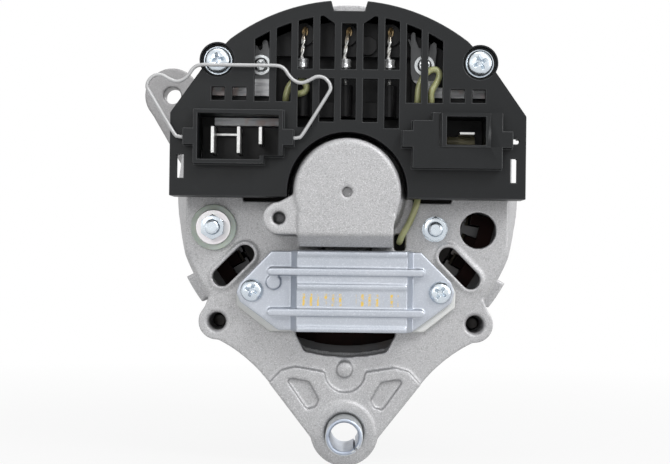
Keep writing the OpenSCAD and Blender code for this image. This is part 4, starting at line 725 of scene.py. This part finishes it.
def laid_out(piece, tree, values, least):
    """The plain mesh that a tree makes from a piece."""
    grow = piece.modifiers.new(tree.name, "NODES")
    grow.node_group = tree
    names = {item.name: item.identifier for item in tree.interface.items_tree if item.in_out == "INPUT"}
    for key, value in values.items():
        grow[names[key]] = value
    settled(piece)
    if len(piece.data.polygons) < least:
        raise RuntimeError(piece.name + ": its tree made nothing")
    piece.data.polygons.foreach_set("material_index", [0] * len(piece.data.polygons))
    piece.data.shade_smooth()
    piece.data.set_sharp_from_angle(angle=math.radians(CREASE))
    return piece


def joined(first, *others):
    """The first piece with the others' meshes in it."""
    mesh = bmesh.new()
    for piece in (first, *others):
        mesh.from_mesh(piece.data)
    bmesh.ops.recalc_face_normals(mesh, faces=mesh.faces)
    mesh.to_mesh(first.data)
    mesh.free()
    for piece in others:
        bpy.data.objects.remove(piece)
    return first


THREAD_PITCH = 0.8
THREAD_DEPTH = 0.42
TIP_CHAMFER = 0.5


def threaded_rod(mesh, at, radius, y_tip, y_end, steps=8, segments=36):
    """Adds a rod along Y with a screw thread and a chamfered tip, in millimetres."""
    rows = int((y_end - y_tip) / THREAD_PITCH * steps)
    rings = []
    for row in range(rows + 1):
        y = y_tip + row * THREAD_PITCH / steps
        reach = min(1.0, (y - y_tip) / THREAD_PITCH)
        ring = []
        for k, a in enumerate(round_turn(segments)):
            phase = (y / THREAD_PITCH + k / segments) % 1.0
            out = radius - (THREAD_DEPTH * abs(2 * phase - 1) + TIP_CHAMFER * (1 - reach))
            ring.append(Vector((at[0] + out * math.cos(a), y, at[1] + out * math.sin(a))) * MM)
        rings.append(add_ring(mesh, ring))
    for first, second in zip(rings, rings[1:]):
        join_rings(mesh, first, second)
    for ring in (rings[0], rings[-1]):
        mesh.faces.new(ring)


HEAD_DOME = ((0, 1), (0.40, 1), (0.66, 0.94), (0.86, 0.76), (0.97, 0.46), (1, 0.16))


def screw_blank(name, head_r, head_h, shank_r, shank_len, washer=None):
    """A pan head with a cross recess, its seat at y = 0 and its head towards the rear."""
    mesh = bmesh.new()
    dome = [(head_r * out, -head_h * up) for out, up in HEAD_DOME]
    shank = [(shank_r, 0), (shank_r, shank_len - 0.6), (shank_r - 0.6, shank_len), (0, shank_len)]
    lathe(mesh, dome + [(head_r * 0.985, -0.03), (head_r * 0.95, 0)] + shank)
    blank = new_piece(name, mesh)
    cross = bmesh.new()
    arm, half, deep = head_r * 0.58, head_r * 0.13, head_h * 0.62
    levels = ((-head_h - 0.5, 1.05, 1.1), (-head_h + 0.1, 1.0, 1.0), (-head_h + deep, 0.42, 0.6))
    for turn in (0.0, math.pi / 2):
        spin = Matrix.Rotation(turn, 3, "Y")
        top = [(arm, half), (-arm, half), (-arm, -half), (arm, -half)]
        rings = []
        for y, size, width in levels:
            corners = [spin @ (Vector((px * size, y, pz * width)) * MM) for px, pz in top]
            rings.append(add_ring(cross, corners))
        for first, second in zip(rings, rings[1:]):
            join_rings(cross, first, second)
        for ring in (rings[0], rings[-1]):
            cross.faces.new(ring)
    cutter = new_piece(name + "_recess", cross)
    cut = blank.modifiers.new("recess", "BOOLEAN")
    cut.object = cutter
    cut.solver = "EXACT"
    cut.use_self = True
    soft = blank.modifiers.new("rounded edges", "BEVEL")
    soft.width = 0.1 * MM
    soft.segments = 2
    soft.limit_method = "ANGLE"
    soft.angle_limit = math.radians(40)
    settled(blank)
    bpy.data.objects.remove(cutter)
    if washer:
        ring = bmesh.new()
        low, high, radius = washer
        hole = shank_r + 0.1
        lathe(ring, [(hole, low), (radius - 0.15, low), (radius, low + 0.15), (radius, high - 0.1),
                     (radius - 0.1, high), (hole, high), (hole, low)])
        joined(blank, new_piece(name + "_washer", ring))
    return blank


def copies_tree():
    """Puts a copy of an object on every point, each turned by its own amount about Y."""
    sockets = (("Points", "Geometry"), ("Copy", "Object"), ("Largest turn", "Float"), ("Seed", "Int"))
    tree, given, end = new_tree("copies on points", sockets)
    add, link = tree.nodes.new, tree.links.new
    copy = add("GeometryNodeObjectInfo")
    copy.inputs["As Instance"].default_value = True
    turn = add("FunctionNodeRandomValue")
    turn.data_type = "FLOAT"
    about = add("ShaderNodeCombineXYZ")
    place = add("GeometryNodeInstanceOnPoints")
    link(given["Copy"], copy.inputs["Object"])
    link(given["Largest turn"], turn.inputs[3])
    link(given["Seed"], turn.inputs["Seed"])
    link(turn.outputs[1], about.inputs["Y"])
    link(given["Points"], place.inputs["Points"])
    link(copy.outputs["Geometry"], place.inputs["Instance"])
    link(about.outputs[0], place.inputs["Rotation"])
    link(place.outputs[0], end)
    return tree


def copies(name, source, spots, slot, seed, turn):
    """Copies of a source at spots in millimetres, as one plain mesh."""
    tree = bpy.data.node_groups.get("copies on points") or copies_tree()
    data = bpy.data.meshes.new(name)
    data.from_pydata([Vector(s) * MM for s in spots], [], [])
    piece = placed(name, data)
    values = {"Copy": source, "Largest turn": turn, "Seed": seed, "Finish": FINISHES[slot]}
    laid_out(piece, tree, values, len(spots))
    bpy.data.objects.remove(source)
    return piece


def seat_piece(piece, node, others=(), slot=None):
    """Gives a piece its material, its node's body and a slot, and hides the node that it stands for."""
    body, slot, stands_for = BODY_OF[node], slot or SLOT_OF[node], (node,)
    data = piece.data
    kinds = [face.material_index for face in data.polygons]
    data.materials.clear()
    for name in (slot, *others):
        data.materials.append(FINISHES[name])
    data.polygons.foreach_set("material_index", kinds)
    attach(piece, body)
    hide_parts(*stands_for)


def tint_faces(piece, index, chosen):
    """Gives the faces whose middle is chosen, in millimetres, another of the piece's materials."""
    for face in piece.data.polygons:
        if chosen(*(c / MM for c in face.center)):
            face.material_index = index


def dress(nodes, edge, segments=2):
    """Gives nodes copies with rounded edges."""
    for node in nodes:
        seat_piece(rounded_piece(node, edge, segments), node)


def finish_only(nodes):
    """Gives nodes that stay as they are their material."""
    for node in nodes:
        data = frame["nodes"][node].data
        data.materials.clear()
        data.materials.append(FINISHES[SLOT_OF[node]])


# Settings

class StudioSettings(bpy.types.PropertyGroup):
    focal: bpy.props.FloatProperty(
        name="Focal length", description="Lens of the rear view", unit="CAMERA", default=96.5)
    stand: bpy.props.FloatVectorProperty(
        name="Camera place", description="Where the camera stands", subtype="TRANSLATION", unit="LENGTH",
        default=(0.0015, -0.765, -0.0214))
    aim: bpy.props.FloatVectorProperty(
        name="Camera aim", description="How the camera is turned", subtype="EULER", unit="ROTATION",
        default=tuple(map(math.radians, (90.6645, -0.7324, 0.4999))))
    sky: bpy.props.FloatProperty(
        name="Room light", description="Light from all round", default=0.2)
    floor_colour: bpy.props.FloatVectorProperty(
        name="Floor", description="Colour of the floor", subtype="COLOR", default=(0.5, 0.5, 0.5))


class EdgeSettings(bpy.types.PropertyGroup):
    grain: bpy.props.FloatProperty(
        name="Casting detail", description="Smallest detail of the castings", subtype="DISTANCE",
        unit="LENGTH", default=0.7 * MM, precision=5)
    casting: bpy.props.FloatProperty(
        name="Cast edges", description="Rounding of cast edges", subtype="DISTANCE", unit="LENGTH",
        default=0.6 * MM, precision=5)
    plastic: bpy.props.FloatProperty(
        name="Moulded edges", description="Rounding of moulded edges", subtype="DISTANCE", unit="LENGTH",
        default=0.3 * MM, precision=5)
    metal: bpy.props.FloatProperty(
        name="Metal edges", description="Rounding of metal edges", subtype="DISTANCE", unit="LENGTH",
        default=0.2 * MM, precision=5)


class FastenerSettings(bpy.types.PropertyGroup):
    largest_turn: bpy.props.FloatProperty(
        name="Largest turn", description="How far a recess may be turned", subtype="ANGLE",
        default=math.pi / 2)


class WireSettings(bpy.types.PropertyGroup):
    sleeving: bpy.props.FloatProperty(
        name="Sleeved lead", description="Radius of the sleeved leads", subtype="DISTANCE", unit="LENGTH",
        default=1.15 * MM, precision=5)
    bail: bpy.props.FloatProperty(
        name="Bail wire", description="Radius of the bail's wire", subtype="DISTANCE", unit="LENGTH",
        default=0.65 * MM, precision=5)


def settings(kind):
    return getattr(bpy.context.scene, "alternator_" + kind)


# Operators

SENSOR = 36.0
LIT_POINT = Vector((0.0, -0.08, -0.02))
# Name, place, size and power of each lamp
LAMPS = (("key", (0.62, -1.0, 0.80), 0.5, 8.2), ("front", (-0.38, -1.38, 0.34), 0.3, 2.0),
         ("fill", (-1.0, -0.8, 0.15), 0.9, 1.2), ("rim", (1.1, -0.35, 0.0), 1.1, 6.4),
         ("top", (0.0, -0.1, 1.1), 0.8, 4.6), ("back", (0.35, 1.1, 0.6), 0.8, 4.0))
FLOOR_RADIUS = 4.0
FLOOR_GAP = 0.0002
# Two distances on the floor, and how white it is seen there
FLOOR_WHITE = (0.13, 0.5, 0.9, 1.0)


def white_rays(nodes, links):
    """One for the kinds of ray that see the background as white."""
    path = nodes.new("ShaderNodeLightPath")
    total = path.outputs["Is Camera Ray"]
    for kind in ("Is Glossy Ray", "Is Transmission Ray"):
        add = nodes.new("ShaderNodeMath")
        add.operation = "MAXIMUM"
        links.new(total, add.inputs[0])
        links.new(path.outputs[kind], add.inputs[1])
        total = add.outputs[0]
    return total


class ALTERNATOR_OT_stage(bpy.types.Operator):
    """Puts up the camera, the lamps, the room light and the floor"""
    bl_idname = "alternator.stage"
    bl_label = "Studio"

    def execute(self, context):
        studio = settings("studio")
        scene = context.scene
        lens = bpy.data.cameras.new("rear_view")
        lens.lens = studio.focal
        lens.sensor_width = SENSOR
        scene.camera = placed("rear_view", lens)
        scene.camera.location = studio.stand
        scene.camera.rotation_euler = studio.aim
        scene.view_settings.view_transform = "Standard"
        self.room(scene, studio)
        for name, place, size, power in LAMPS:
            light = bpy.data.lights.new(name, "AREA")
            light.size = size
            light.energy = power
            lamp = placed(name, light)
            lamp.location = place
            lamp.rotation_euler = (LIT_POINT - Vector(place)).to_track_quat("-Z", "Y").to_euler()
        self.floor(studio)
        return {"FINISHED"}

    def room(self, scene, studio):
        world = bpy.data.worlds.new("room")
        world.use_nodes = True
        scene.world = world
        nodes, links = world.node_tree.nodes, world.node_tree.links
        mix = nodes.new("ShaderNodeMixShader")
        links.new(white_rays(nodes, links), mix.inputs[0])
        sky, seen = nodes["Background"], nodes.new("ShaderNodeBackground")
        for k, (light, strength) in enumerate(((sky, studio.sky), (seen, 1.0)), 1):
            light.inputs["Color"].default_value = (1, 1, 1, 1)
            light.inputs["Strength"].default_value = strength
            links.new(light.outputs[0], mix.inputs[k])
        links.new(mix.outputs[0], nodes["World Output"].inputs[0])

    def floor(self, studio):
        low = CAD_BOX[0].z - FLOOR_GAP
        mesh = bmesh.new()
        bmesh.ops.create_circle(mesh, cap_ends=True, radius=FLOOR_RADIUS, segments=96,
                                matrix=Matrix.Translation((0, 0, low)))
        data = bpy.data.meshes.new("floor")
        mesh.to_mesh(data)
        mesh.free()
        ground = placed("floor", data)
        paper = Recipe("floor_paper", tuple(studio.floor_colour), roughness=0.9, specular=0.1)
        paper.grain((900.0,), 0.00005, 0.3)
        glow = paper.node("ShaderNodeEmission", {"Color": (1, 1, 1, 1), "Strength": 1.0})
        rays = white_rays(paper.nodes, paper.links)
        far = paper.node("ShaderNodeVectorMath", {0: paper.place}, operation="LENGTH").outputs["Value"]
        share = paper.maths("MULTIPLY", rays, paper.span(far, *FLOOR_WHITE))
        mix = paper.node("ShaderNodeMixShader", {0: share, 1: paper.surface.outputs[0], 2: glow.outputs[0]})
        paper.links.new(mix.outputs[0], paper.nodes["Material Output"].inputs[0])
        data.materials.append(paper.material)


SLEEVE_END = (4.9, 6.4)
BUTTON = (((0, -114.5), (2.9, -114.5), (2.9, -116.2), (2.5, -116.7), (1.5, -116.7), (1.2, -117.1),
           (0, -117.1)), (-0.2, -63.5))


class ALTERNATOR_OT_housing(bpy.types.Operator):
    """Softens the castings and rounds the edges of the core and the split sleeve"""
    bl_idname = "alternator.housing"
    bl_label = "Housing"

    def execute(self, context):
        grain = settings("edges").grain
        rear = cast_piece("rear_bracket", REAR_DETAIL * grain, (BUTTON,))
        seat_piece(rear, "rear_bracket")
        seat_piece(cast_piece("front_bracket", grain), "front_bracket")
        dress(["stator_core"], settings("edges").metal)
        sleeve = rounded_piece("pivot_sleeve", OWN_EDGE["pivot_sleeve"] * MM, 3)
        seat_piece(sleeve, "pivot_sleeve", ("sleeve_end",))
        low, high = SLEEVE_END
        tint_faces(sleeve, 1, lambda x, y, z: low < math.hypot(x - PIVOT_X, z - PIVOT_Z) < high)
        return {"FINISHED"}


class ALTERNATOR_OT_cover(bpy.types.Operator):
    """Rounds the edges of the rectifier cover and gives them a paler, shinier finish: painted highlight and
    wear
    """
    bl_idname = "alternator.cover"
    bl_label = "Rectifier cover"

    def execute(self, context):
        cover = rounded_piece("rectifier_cover", settings("edges").plastic, 2, "cover_edge")
        seat_piece(cover, "rectifier_cover", ("cover_edge",))
        return {"FINISHED"}


class ALTERNATOR_OT_regulator(bpy.types.Operator):
    """Softens the regulator's body and rounds the edges of its base"""
    bl_idname = "alternator.regulator"
    bl_label = "Regulator"

    def execute(self, context):
        body = cast_piece("regulator_body", REGULATOR_DETAIL * MM, passes=4)
        seat_piece(body, "regulator_body")
        dress(["regulator_base"], settings("edges").casting, 3)
        return {"FINISHED"}


# Head's radius and height, shank's radius and length, washer's two faces and radius, places and seed
SCREWS = (("cover_screws", (4.6, 3.3, 2.4, 24.0), (0.02, 0.88, 5.1),
           ((-46.27, -130.92, 46.07), (46.27, -130.92, 46.07)), 3),
          ("regulator_screws", (4.1, 2.9, 1.55, 10.0), None,
           ((-33.7, -121.5, -35.2), (33.7, -121.5, -35.2)), 8),
          ("terminal_screws", (2.6, 1.5, 1.5, 5.5), (0.02, 0.42, 3.7),
           ((-31.3, -126.45, 45.2), (26.9, -126.45, 45.6)), 5))


class ALTERNATOR_OT_screws(bpy.types.Operator):
    """Makes the cross-recess screws of the cover, the regulator and the phase terminals"""
    bl_idname = "alternator.screws"
    bl_label = "Screws"

    def execute(self, context):
        turn = settings("fasteners").largest_turn
        for node, sizes, washer, spots, seed in SCREWS:
            blank = screw_blank(node + "_blank", *sizes, washer)
            seat_piece(copies(node + "_finished", blank, spots, SLOT_OF[node], seed, turn), node)
        return {"FINISHED"}


class ALTERNATOR_OT_bolts(bpy.types.Operator):
    """Makes the through bolts with their nuts on the front bracket"""
    bl_idname = "alternator.bolts"
    bl_label = "Through bolts"

    def execute(self, context):
        mesh = bmesh.new()
        threaded_rod(mesh, (0.0, 0.0), ROD_RADIUS, -99.5, -35.0, 6, 24)
        lathe(mesh, [(0, -36), (3.9, -36), (4.62, -35.7), (4.62, -32.4), (4.0, -32), (0, -32)], segments=6)
        bolt = new_piece("through_bolt", mesh, THREAD_CREASE)
        reach = BOLTS_OUT / math.sqrt(2)
        spots = [(sx * reach, 0.0, sz * reach) for sx in (-1, 1) for sz in (-1, 1)]
        bolts = copies("through_bolts_finished", bolt, spots, SLOT_OF["through_bolts"], 2, 1.0)
        seat_piece(bolts, "through_bolts", ("rotor_iron",))
        # The bolt tips deep in the lobe holes take the dark rotor iron finish: painted shade
        tint_faces(bolts, 1, lambda x, y, z: y < BOLT_PAINTED_SHADE_TO)
        return {"FINISHED"}


class ALTERNATOR_OT_terminals(bpy.types.Operator):
    """Threads the two studs and finishes their nuts, washers and the clear insulator"""
    bl_idname = "alternator.terminals"
    bl_label = "Terminals"

    def execute(self, context):
        mesh = bmesh.new()
        threaded_rod(mesh, LEFT_STUD, ROD_RADIUS, -127.6, -108.5)
        threaded_rod(mesh, RIGHT_STUD, ROD_RADIUS, -123.3, -110.5)
        lathe(mesh, [(0, -110.3), (4.6, -110.3), (4.6, -106.5), (0, -106.5)], LEFT_STUD, 6)
        lathe(mesh, [(0, -111.48), (4.0, -111.48), (4.0, -108.5), (0, -108.5)], RIGHT_STUD, 32)
        seat_piece(new_piece("terminal_studs_finished", mesh, THREAD_CREASE), "terminal_studs")
        nuts = rounded_piece("terminal_nuts", OWN_EDGE["terminal_nuts"] * MM, 3)
        seat_piece(nuts, "terminal_nuts", ("passivated_washer",))
        tint_faces(nuts, 1, lambda x, y, z: x < 0 and y > NUT_WASHER_FROM)
        dress(["terminal_insulator"], OWN_EDGE["terminal_insulator"] * MM, 3)
        return {"FINISHED"}


# Height and radius of each ring of a ferrule
FERRULE = ((44.2, 1.78), (44.4, 1.98), (45.0, 1.98), (45.2, 1.86), (46.6, 1.86), (46.8, 1.98), (47.3, 1.98),
           (47.5, 1.78))
FERRULE_SPAN = (44.1, 47.8)
LAY_RADIUS, LAY_PITCH = 0.34, 7.0
STRAND_RADIUS, STUB_RADIUS = 0.42, 0.62


class ALTERNATOR_OT_rectifier(bpy.types.Operator):
    """Finishes the heat sinks, diodes, twisted leads, phase terminals, blades and bus bar"""
    bl_idname = "alternator.rectifier"
    bl_label = "Rectifier"

    def execute(self, context):
        edge = settings("edges").metal
        dress(["heatsink_negative", "heatsink_positive", "blade_carrier", "heatsink_spacers",
               "phase_terminals"], edge)
        bar = rounded_piece("bus_bar", edge)
        # The bus bar is all tin with painted light, near white so it looks lit in its socket
        seat_piece(bar, "bus_bar", ("bright_tin",))
        tint_faces(bar, 1, lambda x, y, z: True)
        blades = rounded_piece("plug_blades", edge)
        seat_piece(blades, "plug_blades", ("blade_barrel",))
        tint_faces(blades, 1, lambda x, y, z: 35.4 < x < 45.6 and y > -122.0 and 16.9 < z < 20.9)
        # The diodes take the dark plastic finish, though their cans are metal: painted shade, as they sit
        # deep behind the grille
        seat_piece(rounded_piece("diodes", OWN_EDGE["diodes"] * MM), "diodes", slot="dark_plastic")
        twists, stubs, ferrules = [], [], bmesh.new()
        for x, lean in DIODES:
            tip = x + lean
            hook = [(tip + 0.2, -123.4, 55.6), (tip + 0.3, -125.0, 57.6), (tip, -126.3, 58.4),
                    (tip - 0.5, -127.1, 57.2), (x + lean * 0.4 - 0.3, -127.2, 53.0),
                    (x - 0.4, DIODE_Y, 48.5), (x - 0.2, DIODE_Y, 46.5)]
            stub = [(x, DIODE_Y, 45.0), (x, -126.6, 42.6), (x, -124.4, 40.2), (x, -124.3, 38.6)]
            twists += strands(smooth_path(hook, 8), LAY_RADIUS, LAY_PITCH)
            stubs.append(smooth_path(stub, 6))
            collared_pin(ferrules, x, DIODE_Y, FERRULE)
        leads = joined(swept("diode_leads_finished", twists, STRAND_RADIUS * MM, "tinned_copper", 8),
                       swept("diode_lead_stubs", stubs, STUB_RADIUS * MM, "tinned_copper", 10),
                       new_piece("diode_ferrules", ferrules))
        seat_piece(leads, "diode_leads", ("solder", "lead_wire"))
        tint_faces(leads, 1, lambda x, y, z: FERRULE_SPAN[0] < z < FERRULE_SPAN[1])
        tint_faces(leads, 2, lambda x, y, z: z >= FERRULE_SPAN[1])
        return {"FINISHED"}


LEAD_PATHS = (
    ((-20.4, -118, 26.2), (-20.6, -121.5, 26.9), (-21.5, -125.2, 29.6), (-22.3, -127.6, 32.2),
     (-22.1, -128.7, 34.2), (-21.6, -128.8, 36.2), (-20.9, -128.8, 37.8), (-19.5, -128.8, 39.2),
     (-18.1, -128.8, 39.7), (-16.8, -128.8, 39.4), (-15.5, -128.8, 38.6), (-14.9, -128.7, 37.3),
     (-15.2, -128.6, 36.1), (-16.2, -128.5, 35.3), (-17.7, -128.2, 34.9), (-18.9, -127.7, 34.9)),
    ((21.4, -118, 25.2), (21.8, -121.5, 25.8), (23.2, -125.6, 28), (24.3, -128.3, 31.2),
     (24.6, -129.1, 34), (24.8, -129.2, 37), (25.7, -129.2, 39.9), (27.1, -129.2, 42.1),
     (28.6, -129.2, 43.5), (30.2, -129.2, 44), (31.5, -129.2, 43.6), (32.1, -129.2, 42.3),
     (31.8, -129.2, 40.6), (30.9, -129.2, 38.8), (29.8, -129.2, 37), (29.3, -129, 35.2),
     (29.4, -128.3, 32.6), (29.3, -126.4, 29), (28.8, -122, 26.4), (28.4, -118, 25.4)),
    ((25.6, -111.2, -0.4), (25.6, -113.5, -0.5), (25.5, -115.5, -0.8), (25.3, -116.8, -2.1),
     (24.9, -117.3, -4), (23.7, -117.3, -7.4), (22.5, -117.3, -10.2), (21.1, -117.2, -12.7),
     (19.9, -116.6, -15), (19.3, -115.4, -16.6), (19.2, -112.5, -17.2)),
)


class ALTERNATOR_OT_leads(bpy.types.Operator):
    """Sweeps the sleeved leads along their paths"""
    bl_idname = "alternator.leads"
    bl_label = "Sleeved leads"

    def execute(self, context):
        paths = [smooth_path(path, 6) for path in LEAD_PATHS]
        leads = swept("sleeved_leads_finished", paths, settings("wires").sleeving, "lead_sleeving", 18)
        seat_piece(leads, "sleeved_leads")
        return {"FINISHED"}


BAIL_HALF = ((16.6, 0), (18, 0), (19.3, 0), (20.9, 0.2), (22.5, 1.4), (27.9, 10.1), (31.1, 15.4),
             (32.1, 17.5), (31.5, 19.7), (29.6, 21.4), (27.1, 21.6), (24.3, 20.2), (21.8, 19.4),
             (19.4, 20.2), (17.6, 21.9), (16.2, 23.9), (14.7, 25), (12.4, 25.4), (8, 25.4), (0, 25.4))


class ALTERNATOR_OT_bail(bpy.types.Operator):
    """Bends the wire bail that locks the plug"""
    bl_idname = "alternator.bail"
    bl_label = "Wire bail"

    def execute(self, context):
        x, y, z = BAIL_HINGE
        path = [(x - px, y, z + pz) for px, pz in BAIL_HALF]
        path = smooth_path(path + [(x + px, y, z + pz) for px, pz in reversed(BAIL_HALF[:-1])], 6)
        bail = swept("plug_bail_finished", [path], settings("wires").bail, "spring_wire", 20)
        seat_piece(bail, "plug_bail")
        return {"FINISHED"}


class ALTERNATOR_OT_drive(bpy.types.Operator):
    """Rounds the edges of the pulley, its nut, the spacer, the fan and the shaft"""
    bl_idname = "alternator.drive"
    bl_label = "Drive end"

    def execute(self, context):
        dress(["pulley_front_half", "pulley_rear_half", "pulley_spacer", "pulley_nut", "lock_washer", "fan",
               "bearing_collar", "shaft"], settings("edges").metal)
        return {"FINISHED"}


class ALTERNATOR_OT_rotor(bpy.types.Operator):
    """Rounds the edges of the claws, the bobbin, the slip rings and the brush gear"""
    bl_idname = "alternator.rotor"
    bl_label = "Rotor and brush gear"

    def execute(self, context):
        dress(["claw_pole_front", "claw_pole_rear", "coil_bobbin", "brush_holder", "brush_inner",
               "brush_outer", "slip_ring_sleeve", "slip_rings"], settings("edges").metal)
        return {"FINISHED"}


class ALTERNATOR_PT_looks(bpy.types.Panel):
    """Shows a button for each of the alternator's steps, and their settings"""
    bl_label = "Alternator"
    bl_idname = "ALTERNATOR_PT_looks"
    bl_space_type = "VIEW_3D"
    bl_region_type = "UI"
    bl_category = "Alternator"

    def draw(self, context):
        for step in OPERATORS:
            self.layout.operator(step.bl_idname)
        for kind in GROUPS:
            group = settings(kind)
            box = self.layout.box()
            for key in group.__annotations__:
                box.prop(group, key)


OPERATORS = (ALTERNATOR_OT_stage, ALTERNATOR_OT_housing, ALTERNATOR_OT_cover, ALTERNATOR_OT_regulator,
             ALTERNATOR_OT_screws, ALTERNATOR_OT_bolts, ALTERNATOR_OT_terminals, ALTERNATOR_OT_rectifier,
             ALTERNATOR_OT_leads, ALTERNATOR_OT_bail, ALTERNATOR_OT_drive, ALTERNATOR_OT_rotor)
GROUPS = {"studio": StudioSettings, "edges": EdgeSettings, "fasteners": FastenerSettings,
          "wires": WireSettings}
CLASSES = (*GROUPS.values(), *OPERATORS, ALTERNATOR_PT_looks)


def register():
    for cls in CLASSES:
        bpy.utils.register_class(cls)
    for name, group in GROUPS.items():
        setattr(bpy.types.Scene, "alternator_" + name, bpy.props.PointerProperty(type=group))


def unregister():
    for name in GROUPS:
        delattr(bpy.types.Scene, "alternator_" + name)
    for cls in reversed(CLASSES):
        bpy.utils.unregister_class(cls)


def main():
    register()
    FINISHES.update(all_finishes())
    finish_only(BODY_OF)
    for step in OPERATORS:
        getattr(bpy.ops.alternator, step.bl_idname.split(".")[1])()


if __name__ == "__main__":
    main()
